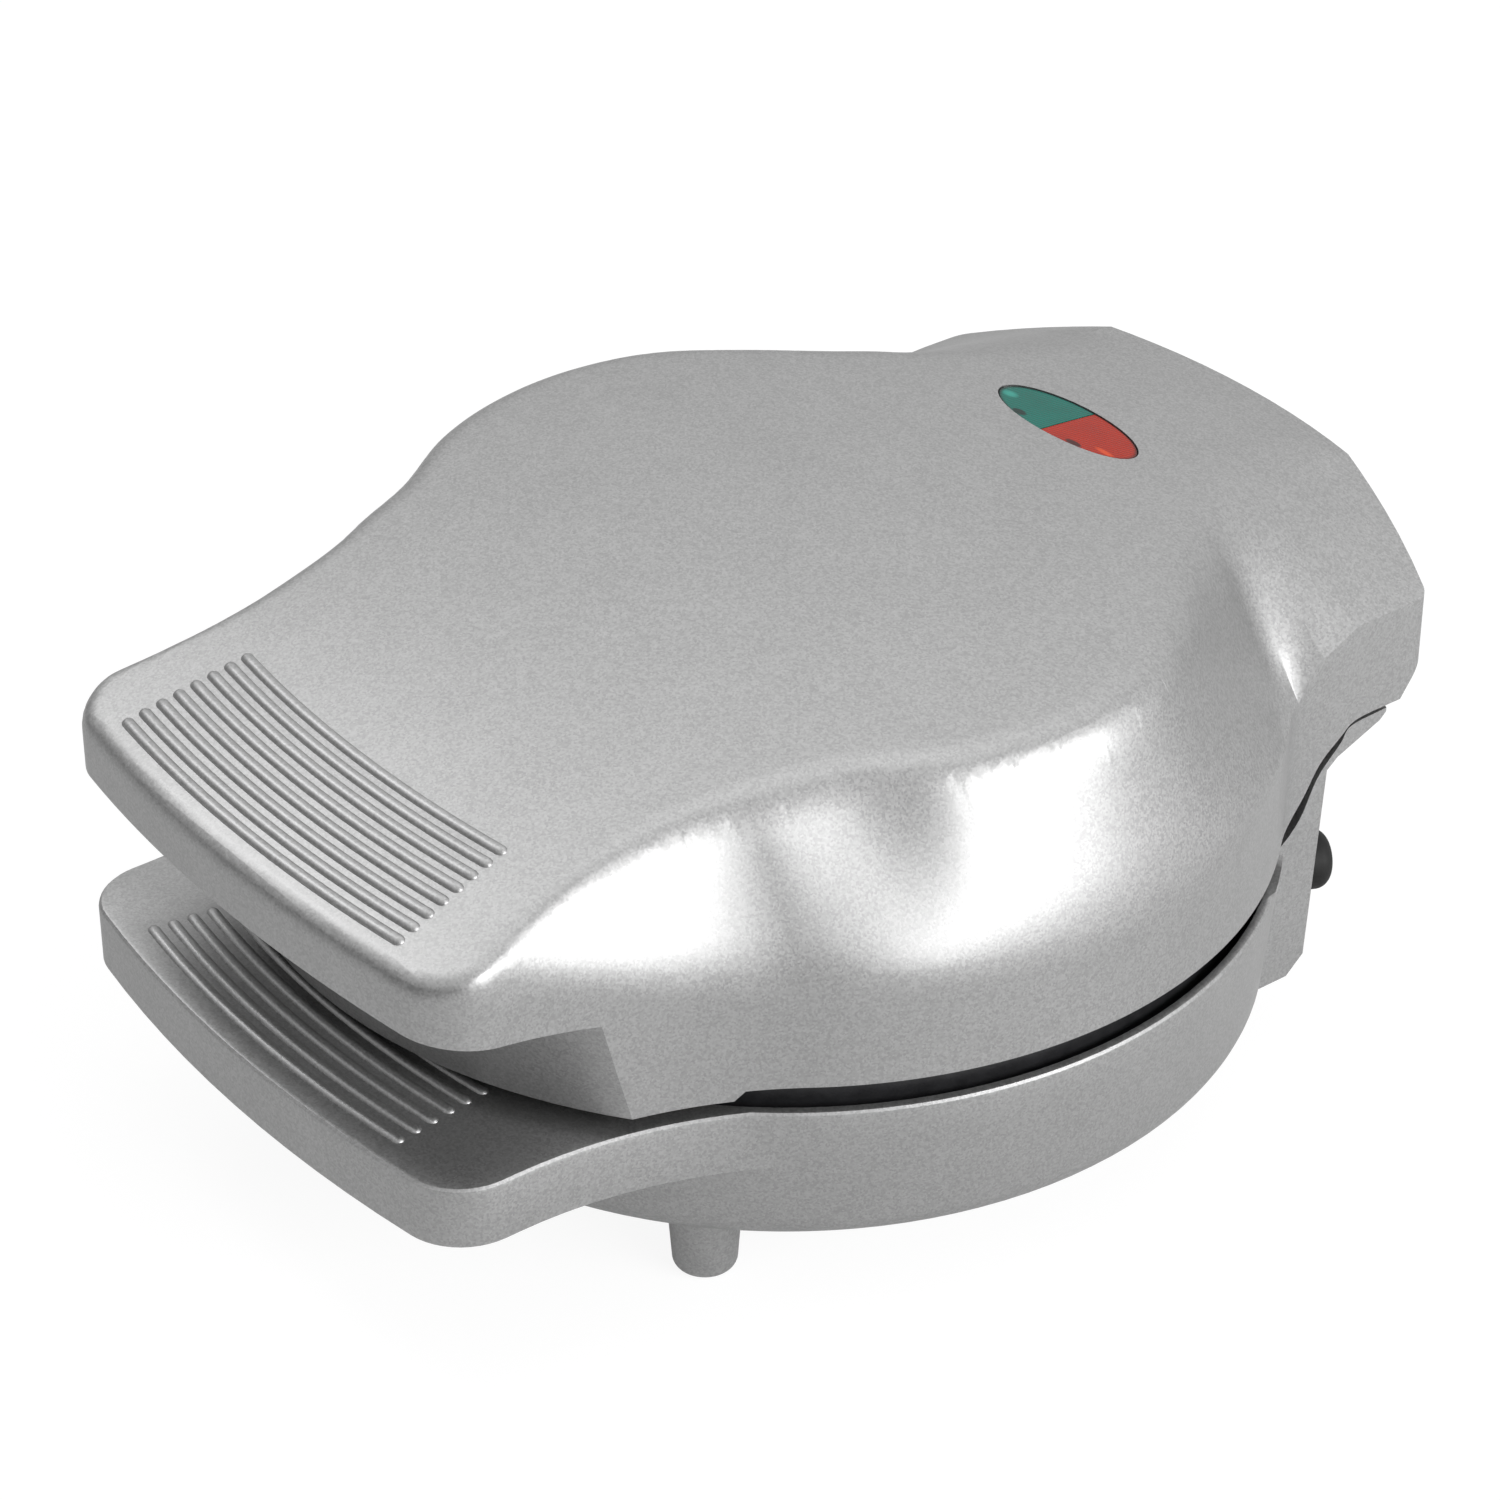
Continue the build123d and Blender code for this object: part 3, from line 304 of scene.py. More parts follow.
finishes = {
    "housing": silverPaint(),
    "plate": plainFinish("nonStickCoat", (0.008, 0.008, 0.009), (0.026, 0.026, 0.028),
                         scale=260, rough=0.4, spread=0.16, lift=0.18),
    "screw": brushedMetal("screwSteel", (0.42, 0.42, 0.43), (0.62, 0.62, 0.63), rough=0.26),
    "heater": plainFinish("heaterSheath", (0.07, 0.065, 0.06), (0.17, 0.16, 0.15),
                          scale=90, rough=0.45, metal=0.8),
    "strap": brushedMetal("strapSteel", (0.45, 0.45, 0.46), (0.6, 0.6, 0.61), rough=0.34),
    "rivet": brushedMetal("rivetAluminium", (0.6, 0.6, 0.61), (0.74, 0.74, 0.75), rough=0.3),
    "shield": brushedMetal("shieldSteel", (0.5, 0.5, 0.5), (0.66, 0.66, 0.66), rough=0.24,
                           streaks=(40.0, 800.0, 40.0)),
    "control": plainFinish("controlCeramic", (0.55, 0.53, 0.48), (0.72, 0.70, 0.64),
                           scale=120, rough=0.55),
    "block": plainFinish("blockNylon", (0.60, 0.59, 0.55), (0.74, 0.73, 0.70), scale=140, rough=0.48),
    "gland": plainFinish("glandRubber", (0.005, 0.005, 0.005), (0.015, 0.015, 0.015),
                         scale=300, rough=0.6, **{"Specular IOR Level": 0.3}),
    "pad": plainFinish("padRubber", (0.014, 0.014, 0.014), (0.035, 0.035, 0.035), scale=260, rough=0.7),
    "pin": brushedMetal("pinSteel", (0.5, 0.5, 0.51), (0.66, 0.66, 0.67), rough=0.22,
                        streaks=(60.0, 700.0, 700.0)),
    "bush": plainFinish("bushBronze", (0.44, 0.26, 0.10), (0.60, 0.38, 0.16),
                        scale=160, rough=0.34, metal=1.0),
    "wire": plainFinish("wireSleeve", (0.56, 0.55, 0.51), (0.76, 0.75, 0.71),
                        scale=700, rough=0.7, lift=0.4, liftDepth=0.2 * mm),
    "green_lens": lensPlastic("green"),
    "red_lens": lensPlastic("red"),
    "holder": plainFinish("holderNylon", (0.04, 0.04, 0.04), (0.08, 0.08, 0.08), scale=150, rough=0.5),
    "lamp": plainFinish("lampGlass", (0.62, 0.36, 0.20), (0.86, 0.62, 0.42),
                        scale=120, rough=0.15, **{"Transmission Weight": 0.4}),
}
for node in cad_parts.values():
    slot = node.material_slots[0].name.split(".")[0]
    node.material_slots[0].material = finishes[slot]
print("finishes made")

lidForm = {
    # millimetres, about the centre of the round body at the level of the lid's side edge
    "shift": (0.0, 5.5, 56.0),
    "wall": 2.2,
    "crownHeight": 66.0,
    "crownBack": 27.0,
    "crownRadius": 533.0,
    "crossRadius": 920.0,
    # convex and hollow arcs of the plan: centre, radius, first and last angle, way out
    "arcs": {
        "handleFront": ((0.0, 212.5), 350.0, -90.0, -80.84, 1),
        "handleCorner": ((53.5, -119.21), 14.0, -80.84, 0.0, 1),
        "flank": ((165.5, -117.56), 98.0, 144.61, 180.0, -1),
        "body": ((0.0, 0.0), 105.0, -35.39, 40.87, 1),
        "waist": ((91.5, 79.18), 16.0, -180.0, -139.13, -1),
        "rearCorner": ((71.5, 107.60), 4.0, 0.0, 66.46, 1),
        "rear": ((0.0, -56.5), 183.0, 66.46, 90.0, 1),
    },
    # straight sides of the plan: distance from the middle, first and last place along
    "sides": [(67.5, -119.21, -117.56), (75.5, 79.18, 107.60)],
    "joins": (-60.8, 68.7),     # where the body's arc meets the flank and the waist
    "deepest": -60.0,           # nothing is counted as farther inside the plan
    "angleSlack": 0.02,
    # along the lid: place, how far the crest lies in from the side, height of the crease
    "shoulder": [
        (-151.5, -6.0, 42.0), (-129.5, -3.0, 41.5), (-114.5, 2.0, 40.0), (-103.5, 5.5, 36.5),
        (-91.5, 9.0, 32.0), (-80.5, 12.0, 28.8), (-61.0, 18.0, 25.6), (-43.0, 21.6, 25.6),
        (-27.0, 16.8, 25.6), (-7.0, 14.1, 26.0), (12.0, 13.8, 26.8), (29.0, 15.9, 27.4),
        (44.0, 21.6, 27.8), (57.0, 25.5, 27.6), (69.0, 26.0, 29.2), (78.0, 27.5, 35.8),
        (86.0, 30.5, 41.9), (97.0, 33.5, 43.3), (112.0, 36.5, 43.3), (140.5, 37.5, 43.3)],
    "leastDrop": 3.0,           # from the crest to the crease
    "steepest": (-88.0, 64.0),  # in front of this place the shoulder is no steeper, in degrees
    # how softly the edges roll: place along the lid, then the crest, the crease and the outer edge
    "roll": [
        (-137.0, 3.0, 1.0, 4.0), (-118.0, 2.6, 1.0, 4.0), (-108.0, 3.2, 1.5, 3.4),
        (-90.0, 4.5, 2.6, 3.0), (-60.0, 5.5, 3.6, 2.5), (20.0, 7.0, 3.6, 2.0),
        (50.0, 8.0, 1.2, 0.6), (62.0, 8.0, 0.02, 0.02), (110.0, 5.0, 0.02, 0.02),
        (124.0, 1.6, 0.02, 0.02)],
    "crisp": 60.0,              # behind this place the crease stays a sharp edge
    "creaseBand": 0.5,          # how near that edge the sharp marks stay
    "edgeStrip": 0.4,           # faces this near the rear edges aren't moved
    "fade": 8.0,                # from the rear edges to where the move is full
    "fadeAlong": 10.0,          # and along the lid, about the crisp place
    # planes that cut the skin: first and last place, and steps outside and inside
    "across": (-104.9, 105.5),
    "along": (-137.2, 127.0),
    "levels": (14.0, 50.0),
    "levelStart": 0.11,
    "gridStep": 1.7,
    "levelStep": 1.5,
    "innerStep": 6.0,
    "cutSlack": 0.02,
    # a face lies on the top or a wall, or on the shoulder, when it is this near
    "near": 0.25,
    "nearShoulder": 3.2,
    "past": 0.3,                # and no farther than this outside the others
    "alike": (0.93, 0.85, 0.93),        # how closely it faces as the top, shoulder and wall do
    "mostMove": 5.0,
    "sliver": 0.12,             # corners nearer than this are merged
    "probe": 0.02,
    "rounds": 6,
    "leastSlope": 0.05,
}
centre = np.array(lidForm["shift"])


def smoothLine(places, values, at):
    # a smooth curve through the values, with three-point slopes
    places, values = np.array(places), np.array(values)
    chords = np.diff(values) / np.diff(places)
    gaps = np.diff(places)
    slopes = np.empty(len(places))
    slopes[0], slopes[-1] = chords[0], chords[-1]
    slopes[1:-1] = (gaps[1:] * chords[:-1] + gaps[:-1] * chords[1:]) / (gaps[1:] + gaps[:-1])
    at = np.clip(at, places[0], places[-1])
    i = np.clip(np.searchsorted(places, at) - 1, 0, len(gaps) - 1)
    t = (at - places[i]) / gaps[i]
    return ((1 + 2 * t) * (1 - t) ** 2 * values[i] + t * (1 - t) ** 2 * gaps[i] * slopes[i]
            + t * t * (3 - 2 * t) * values[i + 1] + t * t * (t - 1) * gaps[i] * slopes[i + 1])


def crownHeight(x, y):
    radius = lidForm["crownRadius"]
    drop = radius - np.sqrt(radius ** 2 - (y - lidForm["crownBack"]) ** 2)
    return lidForm["crownHeight"] - drop - x ** 2 / (2 * lidForm["crossRadius"])


def sideHalf(y):
    # half width of the plan where the shoulder runs: handle, flank, body, waist and rear
    def arcSide(name):
        (x, along), radius, _, _, way = lidForm["arcs"][name]
        return x + way * np.sqrt(np.maximum(radius ** 2 - (y - along) ** 2, 0))

    (handle, _, flankStart), (rear, waistEnd, _) = lidForm["sides"]
    flankEnd, bodyEnd = lidForm["joins"]
    return np.select([y <= flankStart, y <= flankEnd, y <= bodyEnd, y <= waistEnd],
                     [handle, arcSide("flank"), arcSide("body"), arcSide("waist")], rear)


def wallDistance(x, y):
    # how far outside the plan's outline a place lies
    best = np.full(x.shape, lidForm["deepest"])
    slack = lidForm["angleSlack"]
    for (cx, cy), radius, first, last, way in lidForm["arcs"].values():
        angle = np.degrees(np.arctan2(y - cy, x - cx))
        away = way * (np.hypot(x - cx, y - cy) - radius)
        near = (angle >= first - slack) & (angle <= last + slack) & (np.abs(away) < np.abs(best))
        best = np.where(near, away, best)
    for side, first, last in lidForm["sides"]:
        near = (y >= first) & (y <= last) & (np.abs(x - side) < np.abs(best))
        best = np.where(near, x - side, best)
    return best


def shoulderPlane(y):
    stations = list(zip(*lidForm["shoulder"]))
    run = smoothLine(stations[0], stations[1], y)
    crease = smoothLine(stations[0], stations[2], y)
    half = sideHalf(y)
    width = np.maximum(run, 0.0)
    crest = crownHeight(half - width, y)
    slope = np.arctan2(np.maximum(crest - crease, lidForm["leastDrop"]), width)
    # it starts at a point by the handle, so it is no steeper there than behind
    start, steepest = lidForm["steepest"]
    return np.where(y < start, np.minimum(slope, math.radians(steepest)), slope), crest, half - run


def softMax(a, b, k):
    h = np.maximum(k - np.abs(a - b), 0.0) / k
    return np.maximum(a, b) + h * h * k / 4


def lidFields(p):
    # how far outside the top, the shoulder and the wall each point lies
    x, y, z = np.abs(p[:, 0]), p[:, 1], p[:, 2]
    slope, crest, place = shoulderPlane(y)
    shoulder = (x - place) * np.sin(slope) + (z - crest) * np.cos(slope)
    return z - crownHeight(x, y), shoulder, wallDistance(x, y)


def softLid(p):
    top, shoulder, wall = lidFields(p)
    places, *rolls = zip(*lidForm["roll"])
    crest, crease, edge = [np.interp(p[:, 1], places, roll) for roll in rolls]
    return softMax(softMax(top, shoulder, crest), softMax(wall, shoulder, crease), edge)


def softFields(p):
    # the finished form as one surface, for the three-surface tests
    return (softLid(p),) * 3


def settle(points, field, depth):
    # bring points onto the soft form, or a depth inside it, along its own slope
    step = lidForm["probe"]
    for _ in range(lidForm["rounds"]):
        value = field(points) + depth
        slope = np.stack([(field(points + shift) - field(points - shift)) / (2 * step)
                          for shift in np.eye(3) * step], axis=1)
        steep = np.maximum((slope ** 2).sum(1), lidForm["leastSlope"])
        points = points - (value / steep)[:, None] * slope
    return points


def readAll(things, name, width=1, kind=float):
    # one value, or one row of them, for each corner, edge or face of a mesh
    values = np.empty(len(things) * width, kind)
    things.foreach_get(name, values)
    return values.reshape(-1, width) if width > 1 else values


def cornerPlaces(mesh):
    return readAll(mesh.vertices, "co", 3) / mm - centre


def setPlaces(piece, places):
    piece.data.vertices.foreach_set("co", ((places + centre) * mm).ravel())
    piece.data.update()


def faceCentres(mesh):
    return readAll(mesh.polygons, "center", 3) / mm - centre, readAll(mesh.polygons, "normal", 3)


def edgesInside(mesh, chosen):
    # how many of the chosen faces each edge borders
    totals = readAll(mesh.polygons, "loop_total", kind=np.int32)
    edges = readAll(mesh.loops, "edge_index", kind=np.int32)
    return np.bincount(edges[np.repeat(chosen, totals)], minlength=len(mesh.edges))


def markSelected(mesh, edges):
    # select these edges and their corners; the corners are returned
    corners = np.zeros(len(mesh.vertices), bool)
    corners[readAll(mesh.edges, "vertices", 2, np.int32)[edges].ravel()] = True
    mesh.edges.foreach_set("select", edges)
    mesh.vertices.foreach_set("select", corners)
    return corners


def selectFaces(piece, chosen):
    piece.data.polygons.foreach_set("select", chosen)
    return markSelected(piece.data, edgesInside(piece.data, chosen) > 0)


def makeActive(piece):
    # only this piece is selected, and nothing in its mesh
    bpy.ops.object.select_all(action="DESELECT")
    piece.select_set(True)
    bpy.context.view_layer.objects.active = piece
    bpy.ops.object.mode_set(mode="EDIT")
    bpy.ops.mesh.select_mode(type="FACE")
    bpy.ops.mesh.reveal(select=False)
    bpy.ops.mesh.select_all(action="DESELECT")
    bpy.ops.object.mode_set(mode="OBJECT")


def copyOfNode(node, name):
    piece = bpy.data.objects.new(name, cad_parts[node].data.copy())
    scene.collection.objects.link(piece)
    makeActive(piece)
    bpy.ops.mesh.customdata_custom_splitnormals_clear()
    bpy.ops.object.mode_set(mode="EDIT")
    bpy.ops.mesh.select_all(action="SELECT")
    bpy.ops.mesh.remove_doubles(threshold=1e-6)
    bpy.ops.object.mode_set(mode="OBJECT")
    return piece


def fieldSlopes(points, fields):
    # which way is out from each of the form's three surfaces
    steps = np.eye(3) * lidForm["probe"]
    pairs = [(fields(points + step), fields(points - step)) for step in steps]
    slopes = [np.stack([more[i] - less[i] for more, less in pairs], axis=1) for i in range(3)]
    return [slope / np.maximum(np.linalg.norm(slope, axis=1), 1e-6)[:, None] for slope in slopes]


def facesOn(mesh, fields, depth):
    # faces that lie on the lid's outer form, or on its inner one, and face as it does
    centres, normals = faceCentres(mesh)
    top, shoulder, wall = [value + depth for value in fields(centres)]
    facing = -1.0 if depth else 1.0
    alike = [facing * (slope * normals).sum(axis=1) > least
             for slope, least in zip(fieldSlopes(centres, fields), lidForm["alike"])]
    near, far, past = lidForm["near"], lidForm["nearShoulder"], lidForm["past"]
    onTop = (np.abs(top) < near) & (shoulder < far) & (wall < past) & alike[0]
    onShoulder = (np.abs(shoulder) < far) & (top < past) & (wall < past) & alike[1]
    onWall = (np.abs(wall) < near) & (top < past) & (shoulder < far) & alike[2]
    # the rear's crisp edges and its inside, which swings close behind the base, stay as they are
    front = centres[:, 1] < lidForm["crisp"]
    clear = (wall < -lidForm["edgeStrip"]) & (depth == 0)
    return (onTop | onShoulder | onWall) & (front | clear)


def cutInCells(piece, chosen, planes):
    # bisect the chosen faces along many planes; the rest is hidden meanwhile
    makeActive(piece)
    selectFaces(piece, ~chosen)
    bpy.ops.object.mode_set(mode="EDIT")
    bpy.ops.mesh.hide(unselected=False)
    for axis, places in enumerate(planes):
        normal = tuple(float(axis == i) for i in range(3))
        for place in places:
            bpy.ops.mesh.select_all(action="SELECT")
            spot = tuple((place + centre[i]) * mm if i == axis else 0.0 for i in range(3))
            bpy.ops.mesh.bisect(plane_co=spot, plane_no=normal, threshold=lidForm["cutSlack"] * mm)
    bpy.ops.mesh.reveal(select=False)
    bpy.ops.mesh.select_all(action="DESELECT")
    bpy.ops.object.mode_set(mode="OBJECT")


def shareOfMove(spots):
    # at the rear the move fades out towards the crisp edges
    wall = wallDistance(np.abs(spots[:, 0]), spots[:, 1])
    inward = np.clip(-wall / lidForm["fade"], 0.0, 1.0)
    behind = np.clip((spots[:, 1] - lidForm["crisp"]) / lidForm["fadeAlong"] + 0.5, 0.0, 1.0)
    return 1.0 - behind * (1.0 - inward * inward * (3.0 - 2.0 * inward))


def softenLid(piece):
    # cut the skin finely and bring it onto the soft form, first inside and then outside
    for depth, step in ((lidForm["wall"], lidForm["innerStep"]), (0.0, lidForm["gridStep"])):
        chosen = facesOn(piece.data, lidFields, depth)
        levelStep = step if depth else lidForm["levelStep"]
        levels = np.arange(*lidForm["levels"], levelStep) + lidForm["levelStart"]
        cutInCells(piece, chosen, [np.arange(*lidForm["across"], step),
                                   np.arange(*lidForm["along"], step), levels])
        chosen = facesOn(piece.data, lidFields, depth)
        corners = selectFaces(piece, chosen)
        places = cornerPlaces(piece.data)
        spots = places[corners]
        moved = settle(spots, softLid, depth)
        if depth == 0:
            moved = spots + (moved - spots) * shareOfMove(spots)[:, None]
        shift = np.linalg.norm(moved - spots, axis=1)
        places[corners] = np.where((shift < lidForm["mostMove"])[:, None], moved, spots)
        setPlaces(piece, places)
        selectFaces(piece, chosen)
        bpy.ops.object.mode_set(mode="EDIT")
        bpy.ops.mesh.remove_doubles(threshold=lidForm["sliver"] * mm)
        bpy.ops.object.mode_set(mode="OBJECT")
        print("lid skin at depth", depth, "faces", int(chosen.sum()), "moved up to",
              round(float(shift.max()), 2))
    makeActive(piece)


def smoothSkin(piece):
    # sharp edges stay, but none within the rolled form, where slivers would leave marks
    bpy.ops.object.shade_smooth_by_angle(angle=sharpAngle)
    mesh = piece.data
    within = edgesInside(mesh, facesOn(mesh, softFields, 0.0)) >= 2
    sharp = readAll(mesh.edges, "use_edge_sharp", kind=bool)
    middles = cornerPlaces(mesh)[readAll(mesh.edges, "vertices", 2, np.int32)].mean(axis=1)
    top, shoulder, wall = np.abs(lidFields(middles))
    band = lidForm["creaseBand"]
    within &= ~((middles[:, 1] > lidForm["crisp"]) & (wall < band) & (np.minimum(shoulder, top) < band))
    mesh.edges.foreach_set("use_edge_sharp", sharp & ~within)
    print("smoothed", int((sharp & within).sum()), "edges within the form")


ribs = {
    # millimetres, about the same centre
    "upper": {"first": -130.7, "pitch": 3.7, "half": 48.0, "shorter": 0.55, "count": 8},
    "lower": {"first": -130.9, "pitch": 4.3, "half": 44.5, "shorter": 0.60, "count": 6},
    "bow": 3.2,
    "radius": 1.5,
    "rise": 0.8,
    "below": 0.8,           # how flat the sunk half is
    "steps": 40,
    "sides": 14,
    "endSteps": 3,
    "tip": 0.02,            # size of the last ring, as a share of the radius
    "smooth": 60,
    "margin": 3.0,          # about the field of the solid's ribs
    "heights": (0.005, 1.1),
}


def clearRibs(piece, height, plan):
    # take the tessellated ribs off a shell and close the surface under them
    centres, _ = faceCentres(piece.data)
    x, y = centres[:, 0], centres[:, 1]
    above = centres[:, 2] - height(x, y)
    low, high = ribs["heights"]
    last = plan["first"] + plan["pitch"] * (plan["count"] - 1) + ribs["bow"]
    chosen = (np.abs(x) < plan["half"] + ribs["margin"]) & (y > plan["first"] - ribs["margin"]) \
        & (y < last + ribs["margin"]) & (above > low) & (above < high)
    makeActive(piece)
    selectFaces(piece, chosen)
    bpy.ops.object.mode_set(mode="EDIT")
    bpy.ops.mesh.delete(type="FACE")
    bpy.ops.mesh.select_mode(type="EDGE")
    bpy.ops.mesh.select_all(action="SELECT")
    bpy.ops.mesh.fill_holes(sides=0)
    bpy.ops.object.mode_set(mode="OBJECT")
    print("ribs cleared from", piece.name, int(chosen.sum()))


def straightRib():
    # one bar along x with rounded ends, which is copied and laid for every rib
    half, radius = ribs["upper"]["half"], ribs["radius"]
    bpy.ops.object.select_all(action="DESELECT")
    bpy.ops.mesh.primitive_cylinder_add(
        vertices=ribs["sides"], radius=radius * mm, depth=2 * half * mm, calc_uvs=False,
        location=Vector(centre) * mm, rotation=(0, math.radians(90), 0))
    bar = bpy.context.object
    bpy.ops.object.transform_apply(location=True, rotation=True, scale=True)
    bar.data.materials.append(finishes["housing"])
    cutInCells(bar, np.ones(len(bar.data.polygons), bool),
               [np.linspace(-half, half, ribs["steps"] + 1)[1:-1]])
    angles = [math.pi / 2 * i / ribs["endSteps"] for i in range(ribs["endSteps"] + 1)]
    for way in (-1, 1):
        selectFaces(bar, way * faceCentres(bar.data)[0][:, 0] > half - lidForm["cutSlack"])
        bpy.ops.object.mode_set(mode="EDIT")
        for near, far in zip(angles, angles[1:]):
            out = way * radius * mm * (math.sin(far) - math.sin(near))
            size = max(math.cos(far), ribs["tip"]) / math.cos(near)
            bpy.ops.mesh.extrude_region_move(TRANSFORM_OT_translate={"value": (out, 0, 0)})
            bpy.ops.transform.resize(value=(1, size, size), center_override=Vector(centre) * mm)
        bpy.ops.object.mode_set(mode="OBJECT")
    return bar


def layRib(bar, height, start, half):
    # bow a straight bar over its handle's surface
    def path(x):
        y = start + ribs["bow"] * (x / half) ** 2
        return np.stack([x, y, height(x, y) - ribs["radius"] + ribs["rise"]], axis=1)

    def unit(rows):
        return rows / np.linalg.norm(rows, axis=1)[:, None]

    places = cornerPlaces(bar.data)
    straight = np.clip(places[:, 0] / ribs["upper"]["half"], -1.0, 1.0)
    x = straight * half + places[:, 0] - straight * ribs["upper"]["half"]
    along = unit(path(x + lidForm["probe"]) - path(x - lidForm["probe"]))
    across = unit(np.cross((0.0, 0.0, 1.0), along))
    up = np.cross(along, across)
    rise = np.where(places[:, 2] < 0, ribs["below"], 1.0) * places[:, 2]
    setPlaces(bar, path(x) + places[:, 1, None] * across + rise[:, None] * up)


def addRibs(name, body, height, plan):
    # rolled bars with round ends, half sunk in the handle
    first = straightRib()
    bars = [first] + [bpy.data.objects.new(name, first.data.copy()) for _ in range(plan["count"] - 1)]
    for i, bar in enumerate(bars):
        if bar is not first:
            scene.collection.objects.link(bar)
        layRib(bar, height, plan["first"] + plan["pitch"] * i, plan["half"] - plan["shorter"] * i)
        bar.select_set(True)
    bpy.ops.object.join()
    first.name = first.data.name = name
    makeActive(first)
    bpy.ops.object.shade_smooth_by_angle(angle=math.radians(ribs["smooth"]))
    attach(first, body)
    print(name, "laid with", plan["count"], "bars")


lidSkin = copyOfNode("lid_cover", "lidSkin")
clearRibs(lidSkin, crownHeight, ribs["upper"])
softenLid(lidSkin)
smoothSkin(lidSkin)
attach(lidSkin, "lid")
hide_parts("lid_cover")
lidSkin.data.calc_loop_triangles()
print("lid skin made of", len(lidSkin.data.loop_triangles), "triangles")


def liftLens(name):
    # the pane lies nearly flush with the lid
    piece = copyOfNode(name + "_lens", name + "Pane")
    places = cornerPlaces(piece.data)
    near = places[:, 2] > crownHeight(places[:, 0], places[:, 1]) - lens["face"]
    places[near, 2] += lens["lift"]
    setPlaces(piece, places)
    bpy.ops.object.shade_smooth_by_angle(angle=sharpAngle)
    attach(piece, "lid")
    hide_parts(name + "_lens")
    print(piece.name, "lifted at", int(near.sum()), "of", len(near), "corners")


for name in ("green", "red"):
    liftLens(name)

baseForm = {
    # millimetres, about the same centre
    "rim": -6.0,
    "back": 62.0,
    "flat": 0.02,           # degrees between faces that are made one before the bevel
    "sharp": 1.0,           # radians at an edge that is rolled
    "slack": 0.02,
    "handle": 105.2,        # edges farther out than this belong to the handle
    "outline": (-1.3, 104.5),       # the rim's outer edge: from the outline, and from the middle
    "edge": 1.3,
    "segments": 3,
    "lip": {"centre": -56.5, "radii": (173.2, 175.2), "heights": (17.0, 19.8), "inward": 0.4},
}


def baseTop(x, y):
    return np.full(np.shape(x), baseForm["rim"])


def roundBaseRim(piece):
    # roll the outer top edge of the bowl and the handle
    makeActive(piece)
    bpy.ops.object.mode_set(mode="EDIT")
    bpy.ops.mesh.select_mode(type="VERT")
    bpy.ops.mesh.select_all(action="SELECT")
    bpy.ops.mesh.dissolve_limited(angle_limit=math.radians(baseForm["flat"]))
    bpy.ops.mesh.select_mode(type="EDGE")
    bpy.ops.mesh.select_all(action="DESELECT")
    bpy.ops.mesh.edges_select_sharp(sharpness=baseForm["sharp"])
    bpy.ops.object.mode_set(mode="OBJECT")
    mesh = piece.data
    sharp = readAll(mesh.edges, "select", kind=bool)
    ends = cornerPlaces(mesh)[readAll(mesh.edges, "vertices", 2, np.int32)]
    x, y, z = ends[:, :, 0], ends[:, :, 1], ends[:, :, 2]
    atRim = (np.abs(z - baseForm["rim"]) <= baseForm["slack"]) & (y <= baseForm["back"])
    away, outline = np.hypot(x, y), wallDistance(np.abs(x), y)
    onRim = (outline > baseForm["outline"][0]) & (away > baseForm["outline"][1])
    onHandle = away > baseForm["handle"]
    chosen = sharp & atRim.all(axis=1) & (onHandle.all(axis=1) | onRim.all(axis=1))
    mesh.polygons.foreach_set("select", np.zeros(len(mesh.polygons), bool))
    markSelected(mesh, chosen)
    bpy.ops.object.mode_set(mode="EDIT")
    bpy.ops.mesh.bevel(offset=baseForm["edge"] * mm, segments=baseForm["segments"], profile=0.5,
                       affect="EDGES", clamp_overlap=False, loop_slide=False)
    bpy.ops.object.mode_set(mode="OBJECT")
    print("base rim rolled along", int(chosen.sum()), "edges")


def easeLip(piece):
    # draw the rear lip's edge in a little, where the open lid passes close behind it
    lip = baseForm["lip"]
    places = cornerPlaces(piece.data)
    x, y, z = places.T
    away = np.hypot(x, y - lip["centre"])
    near = (y > baseForm["back"]) & (away > lip["radii"][0]) & (away < lip["radii"][1]) \
        & (z > lip["heights"][0]) & (z < lip["heights"][1])
    share = (1 - lip["inward"] / away[near])[:, None]
    middle = np.array((0.0, lip["centre"]))
    places[near, :2] = middle + (places[near, :2] - middle) * share
    setPlaces(piece, places)
    print("lip eased at", int(near.sum()), "corners")


addRibs("upperRibs", "lid", crownHeight, ribs["upper"])
baseSkin = copyOfNode("base_housing", "baseSkin")
clearRibs(baseSkin, baseTop, ribs["lower"])
roundBaseRim(baseSkin)
easeLip(baseSkin)
makeActive(baseSkin)
bpy.ops.object.shade_smooth_by_angle(angle=sharpAngle)
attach(baseSkin, "base")
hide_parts("base_housing")
addRibs("lowerRibs", "base", baseTop, ribs["lower"])

studio = {
    "floor": (0.72, 0.74),
    "floorSize": 8.0,
    "floorClouds": 3.0,
    "glowStrength": 1.13,
    "floorGlow": (0.80, 0.20),      # for the camera, and for what the metal mirrors
    "worldFill": 0.52,
    # how pale the studio is at a height above the horizon, as the metal mirrors it
    "sky": [(0.0, 0.14), (0.12, 0.30), (0.35, 0.68), (0.55, 0.86), (0.80, 1.0)],
    "lean": 0.3,                    # how much paler it is behind than in front
    "lamps": [
        # name, place, aim, size, watts
        ("sideSoftbox", (1.07, 0.23, 0.46), (0.03, -0.02, 0.09), (1.05, 0.46), 10.5),
        ("frontSoftbox", (-0.86, -0.26, 1.00), (0.0, -0.1, 0.08), (0.42, 0.42), 2.4),
        ("topSoftbox", (-0.2, 0.2, 1.5), (0, 0, 0.05), (1.4, 1.4), 3.0),
    ],
}


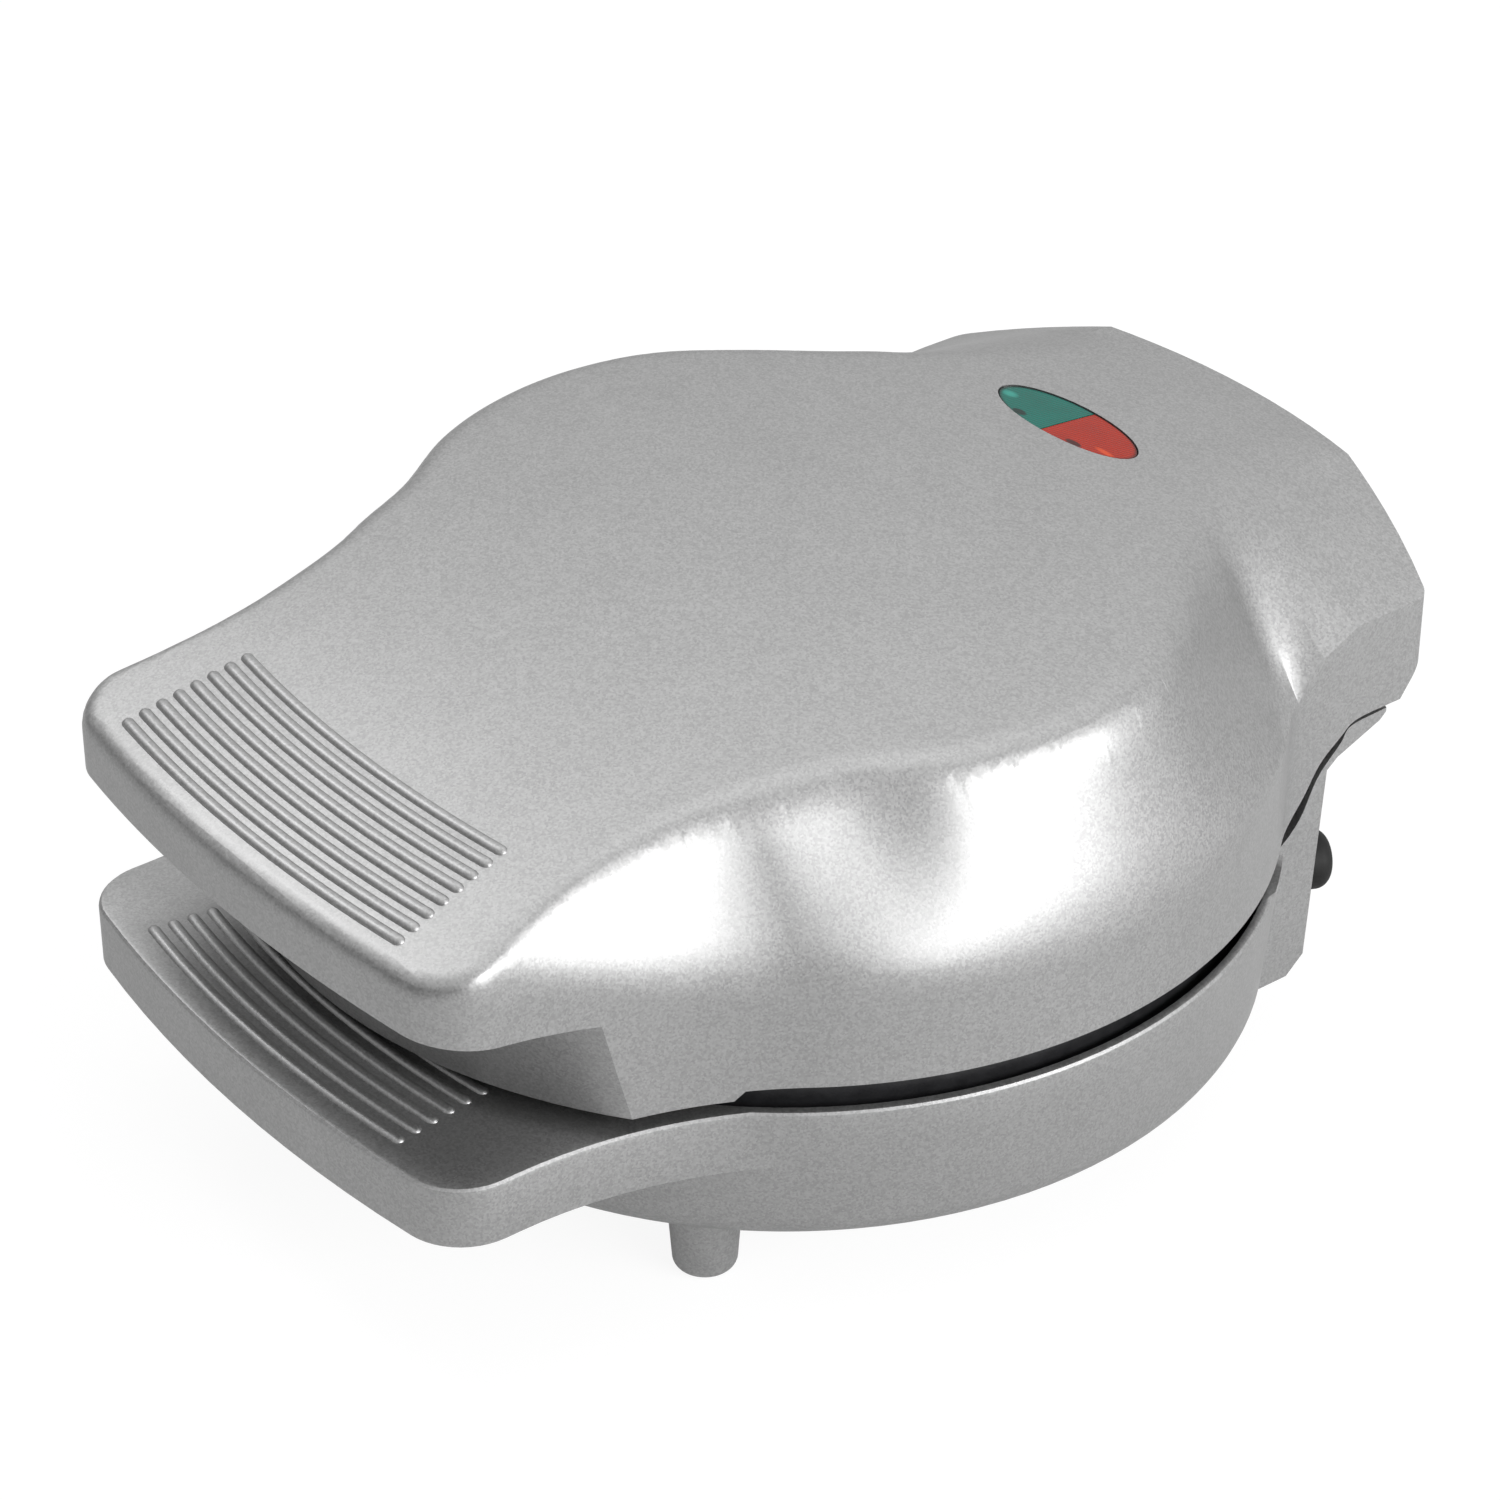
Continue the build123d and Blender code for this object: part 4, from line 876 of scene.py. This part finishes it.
def rayKinds(field):
    # what the camera sees, and what the metal and the lenses mirror or pass on
    camera, glossy, passed = [field.node("ShaderNodeLightPath", output=name)
                              for name in ("Is Camera Ray", "Is Glossy Ray", "Is Transmission Ray")]
    return camera, field.maths("MINIMUM", glossy + passed, 1.0)


def addFloor():
    bpy.ops.object.select_all(action="DESELECT")
    bpy.ops.mesh.primitive_plane_add(size=studio["floorSize"], location=(0, 0, 0))
    floor = bpy.context.object
    floor.name = "studioFloor"
    material, field = newMaterial("studioFloor")
    cloud = noise(field, objectPlace(field), studio["floorClouds"])
    paper = field.node("ShaderNodeBsdfDiffuse", {}, {
        "Color": ramp(field, cloud, *zip((0.0, 1.0), studio["floor"]))})
    glow = field.node("ShaderNodeEmission", {}, {
        "Color": (1, 1, 1, 1), "Strength": studio["glowStrength"]})
    camera, mirrored = rayKinds(field)
    toCamera, toMetal = studio["floorGlow"]
    seen = field.maths("MAXIMUM", camera * toCamera, mirrored * toMetal)
    mixed = field.node("ShaderNodeMixShader", {}, {0: seen, 1: paper, 2: glow})
    field.node("ShaderNodeOutputMaterial", {}, {"Surface": mixed})
    floor.data.materials.append(material)


def addWorld():
    world = bpy.data.worlds.new("studioWorld")
    world.use_nodes = True
    world.node_tree.nodes.clear()
    field = Field(world.node_tree)
    camera, mirrored = rayKinds(field)
    way = field.node("ShaderNodeTexCoord", output="Generated")
    depth, height = [field.node("ShaderNodeSeparateXYZ", {}, {"Vector": way}, i) for i in (1, 2)]
    sky = ramp(field, height + depth * studio["lean"], *studio["sky"])
    fill = studio["worldFill"]
    level = camera * (1.0 - fill) + mirrored * (sky - fill) + fill
    backdrop = field.node("ShaderNodeBackground", {}, {"Color": (1, 1, 1, 1), "Strength": level})
    field.node("ShaderNodeOutputWorld", {}, {"Surface": backdrop})
    scene.world = world


def addLamps():
    for name, place, aim, size, watts in studio["lamps"]:
        data = bpy.data.lights.new(name, "AREA")
        data.shape, data.energy = "ELLIPSE", watts
        data.size, data.size_y = size
        lamp = bpy.data.objects.new(name, data)
        scene.collection.objects.link(lamp)
        lamp.location = place
        lamp.rotation_euler = (Vector(place) - Vector(aim)).to_track_quat("Z", "Y").to_euler()


addFloor()
addWorld()
addLamps()
scene.view_settings.view_transform = "Standard"
print("studio lit")
